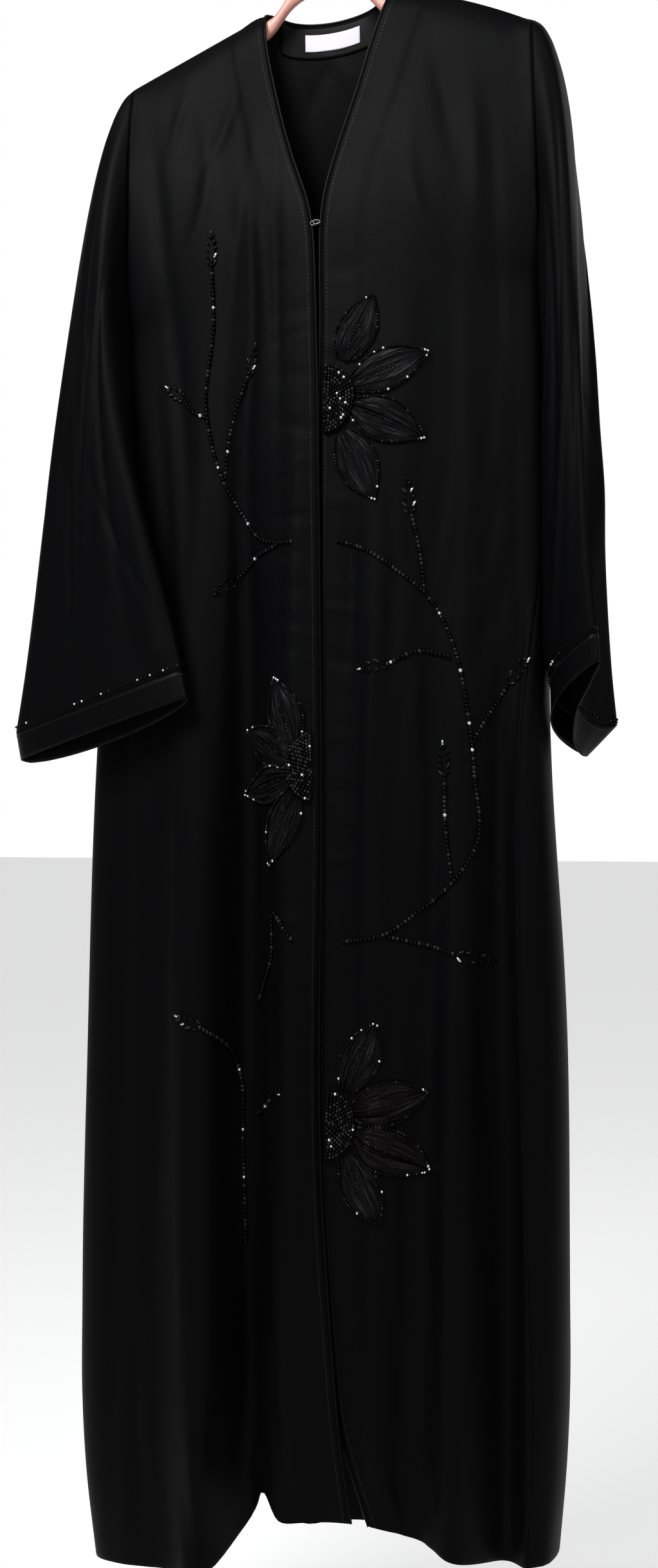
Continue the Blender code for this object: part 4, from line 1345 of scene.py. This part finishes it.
def inside_back(name, half, top, height, lift, thickness, finish, rows=14, columns=30):
    """A piece inside the back of the neck, this far from the back panel's outer face."""
    back = cloth["back"]
    middle = back[:INSIDE_ROWS, neck_columns]
    facing = normals["back"][:INSIDE_ROWS, neck_columns]
    order = np.argsort(middle[0, :, 0])

    def down_at(x, values):
        return np.array([
            [np.interp(x, line[order, 0], value[order, k]) for k in range(3)]
            for line, value in zip(middle, values)
        ])

    grid = np.zeros((rows, columns, 3))
    for j, x in enumerate(np.linspace(-half, half, columns)):
        at_x, out = down_at(x, middle), down_at(x, facing)
        reach = np.concatenate([[0], np.cumsum(np.linalg.norm(np.diff(at_x, axis=0), axis=1))])
        wanted = np.linspace(top, top + height, rows)
        for k in range(3):
            inward_by = lift * np.interp(wanted, reach, out[:, k])
            grid[:, j, k] = np.interp(wanted, reach, at_x[:, k]) - inward_by
    inward = np.tile((0.0, -1.0, 0.0), (rows, columns, 1))
    return sheet_of(name, grid, thickness, finish, facing=inward)


facing = inside_back("neck_facing_satin", 0.052, 0.002, 0.030, FACING_LIFT, 0.0006, satin)
place_piece(facing, "satin", "neck_facing")
label = inside_back("neck_label_bare", 0.0275, 0.009, 0.016, LABEL_LIFT, 0.0005, label_cloth)
place_piece(label, "label", "neck_label")
print("faced the neck, with a bare label")

# %% [markdown]
# ## The clasp
# A tiny metal hook and eye close the fronts at the point of the V. Both are bent from one
# wire, so each is a tube along a loop.

# %% Bend the hook and eye
CLASP_WIRE = 0.0006
LOOP_POINTS = 33

for node in ("neck_hook", "neck_eye"):
    low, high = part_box(node)
    middle, reach = (low + high) / 2, (high - low) / 2
    turn = np.linspace(0, 2 * math.pi, LOOP_POINTS)
    path = np.column_stack([
        middle.x + (reach.x - CLASP_WIRE) * np.cos(turn),
        np.full(LOOP_POINTS, middle.y),
        middle.z + (reach.z - CLASP_WIRE) * np.sin(turn) * (1 - 0.25 * np.cos(turn)),
    ])
    place_piece(tube_of(node + "_wire", path, CLASP_WIRE, clasp_metal), "steel", node)
print("bent the clasp")

# %% [markdown]
# ## The hanger
# The painted bow is turned from the plain model's own sections: a rounded loft, subdivided
# until it is smooth. The metal hook is a bent wire.

# %% Finish the hanger
ANY_ANGLE = 3.1


def smoothed(node, name, finish, levels):
    """A smooth copy of a plain piece."""
    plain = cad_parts[node]
    piece = bpy.data.objects.new(name, plain.data.copy())
    piece.matrix_world = plain.matrix_world.copy()
    bpy.context.collection.objects.link(piece)
    pick(piece)
    bpy.ops.object.mode_set(mode="EDIT")
    bpy.ops.mesh.select_all(action="SELECT")
    bpy.ops.mesh.remove_doubles(threshold=MERGE)
    bpy.ops.mesh.tris_convert_to_quads(face_threshold=ANY_ANGLE, shape_threshold=ANY_ANGLE)
    bpy.ops.object.mode_set(mode="OBJECT")
    bpy.ops.object.transform_apply(location=True, rotation=True, scale=True)
    modify(piece, "SUBSURF", levels=levels, render_levels=levels)
    return keep(name, piece, finish)


place_piece(smoothed("hanger_bow", "hanger_painted", paint, 2), "painted_wood", "hanger_bow")
place_piece(smoothed("hanger_hook", "hanger_wire", steel, 2), "steel", "hanger_hook")
for shape in shapes.values():
    bpy.data.objects.remove(shape)
print("finished the hanger;", len(made), "pieces made")

# %% [markdown]
# ## How each piece was cut
# A cutter lays every piece flat before it is sewn. A sleeve or a cuff is listed all round,
# opened out along its seam.

# %% List the cuts
# Flat width and length in metres, flat area in square metres, and what the piece hangs from.
# The areas are the dressed model's own. The sleeves' widths are too large: where it is widest,
# the model's left sleeve measures about 0.29 m round, and its right sleeve about 0.37 m.
CUTS = {
    "front_left": (0.245, 1.460, 0.307, "hanger_painted"),
    "front_right": (0.412, 1.470, 0.418, "hanger_painted"),
    "back": (0.656, 1.488, 0.790, "hanger_painted"),
    "sleeve_left": (0.420, 0.612, 0.121, "front_left_cloth"),
    "sleeve_right": (0.420, 0.650, 0.137, "front_right_cloth"),
    "cuff_left": (0.352, 0.027, 0.0090, "sleeve_left_cloth"),
    "cuff_right": (0.418, 0.027, 0.0112, "sleeve_right_cloth"),
}
PETAL_FILL = 0.78
GATHERED_IN = 1.1

for name, (width, length, area, holder) in CUTS.items():
    part, _, side = name.partition("_")
    sewn_on = {
        "front": ("edge_piping_" + side, "edge_stitches_" + side, "side_seam_" + side),
        "back": ("neck_piping",),
        "sleeve": tuple(f"cuff_beads_{side}_{kind}" for kind in ("jet", "crystal", "pewter")),
        "cuff": ("cuff_stitches_" + side, "cuff_seam_" + side),
    }[part]
    made[name + "_cloth"]
    [made[other] for other in sewn_on]

for name, (foot_x, foot_down, half, tip_x, tip_down, side) in PETALS.items():
    width = 2 * half * GATHERED_IN
    length = (1 - FOOT_SHARE) * math.hypot(tip_x - foot_x, tip_down - foot_down)
    made[name + "_organza"]
    PETAL_FILL * width * length

for name, (_, top, bottom, reach, side) in HEARTS.items():
    beads = [piece for other, piece in made.items() if other.startswith(name + "_beads")]
    made[name + "_ground"]

print("stated", len(CUTS) + len(PETALS) + len(HEARTS) + 2, "cuts")

# %% [markdown]
# ## Measure and finish
# The plain cloak's size is printed, in metres.

# %% Measure and finish
bpy.ops.object.select_all(action="DESELECT")
print("plain", [round(a - b, 4) for a, b in zip(cad_box[1], cad_box[0])])
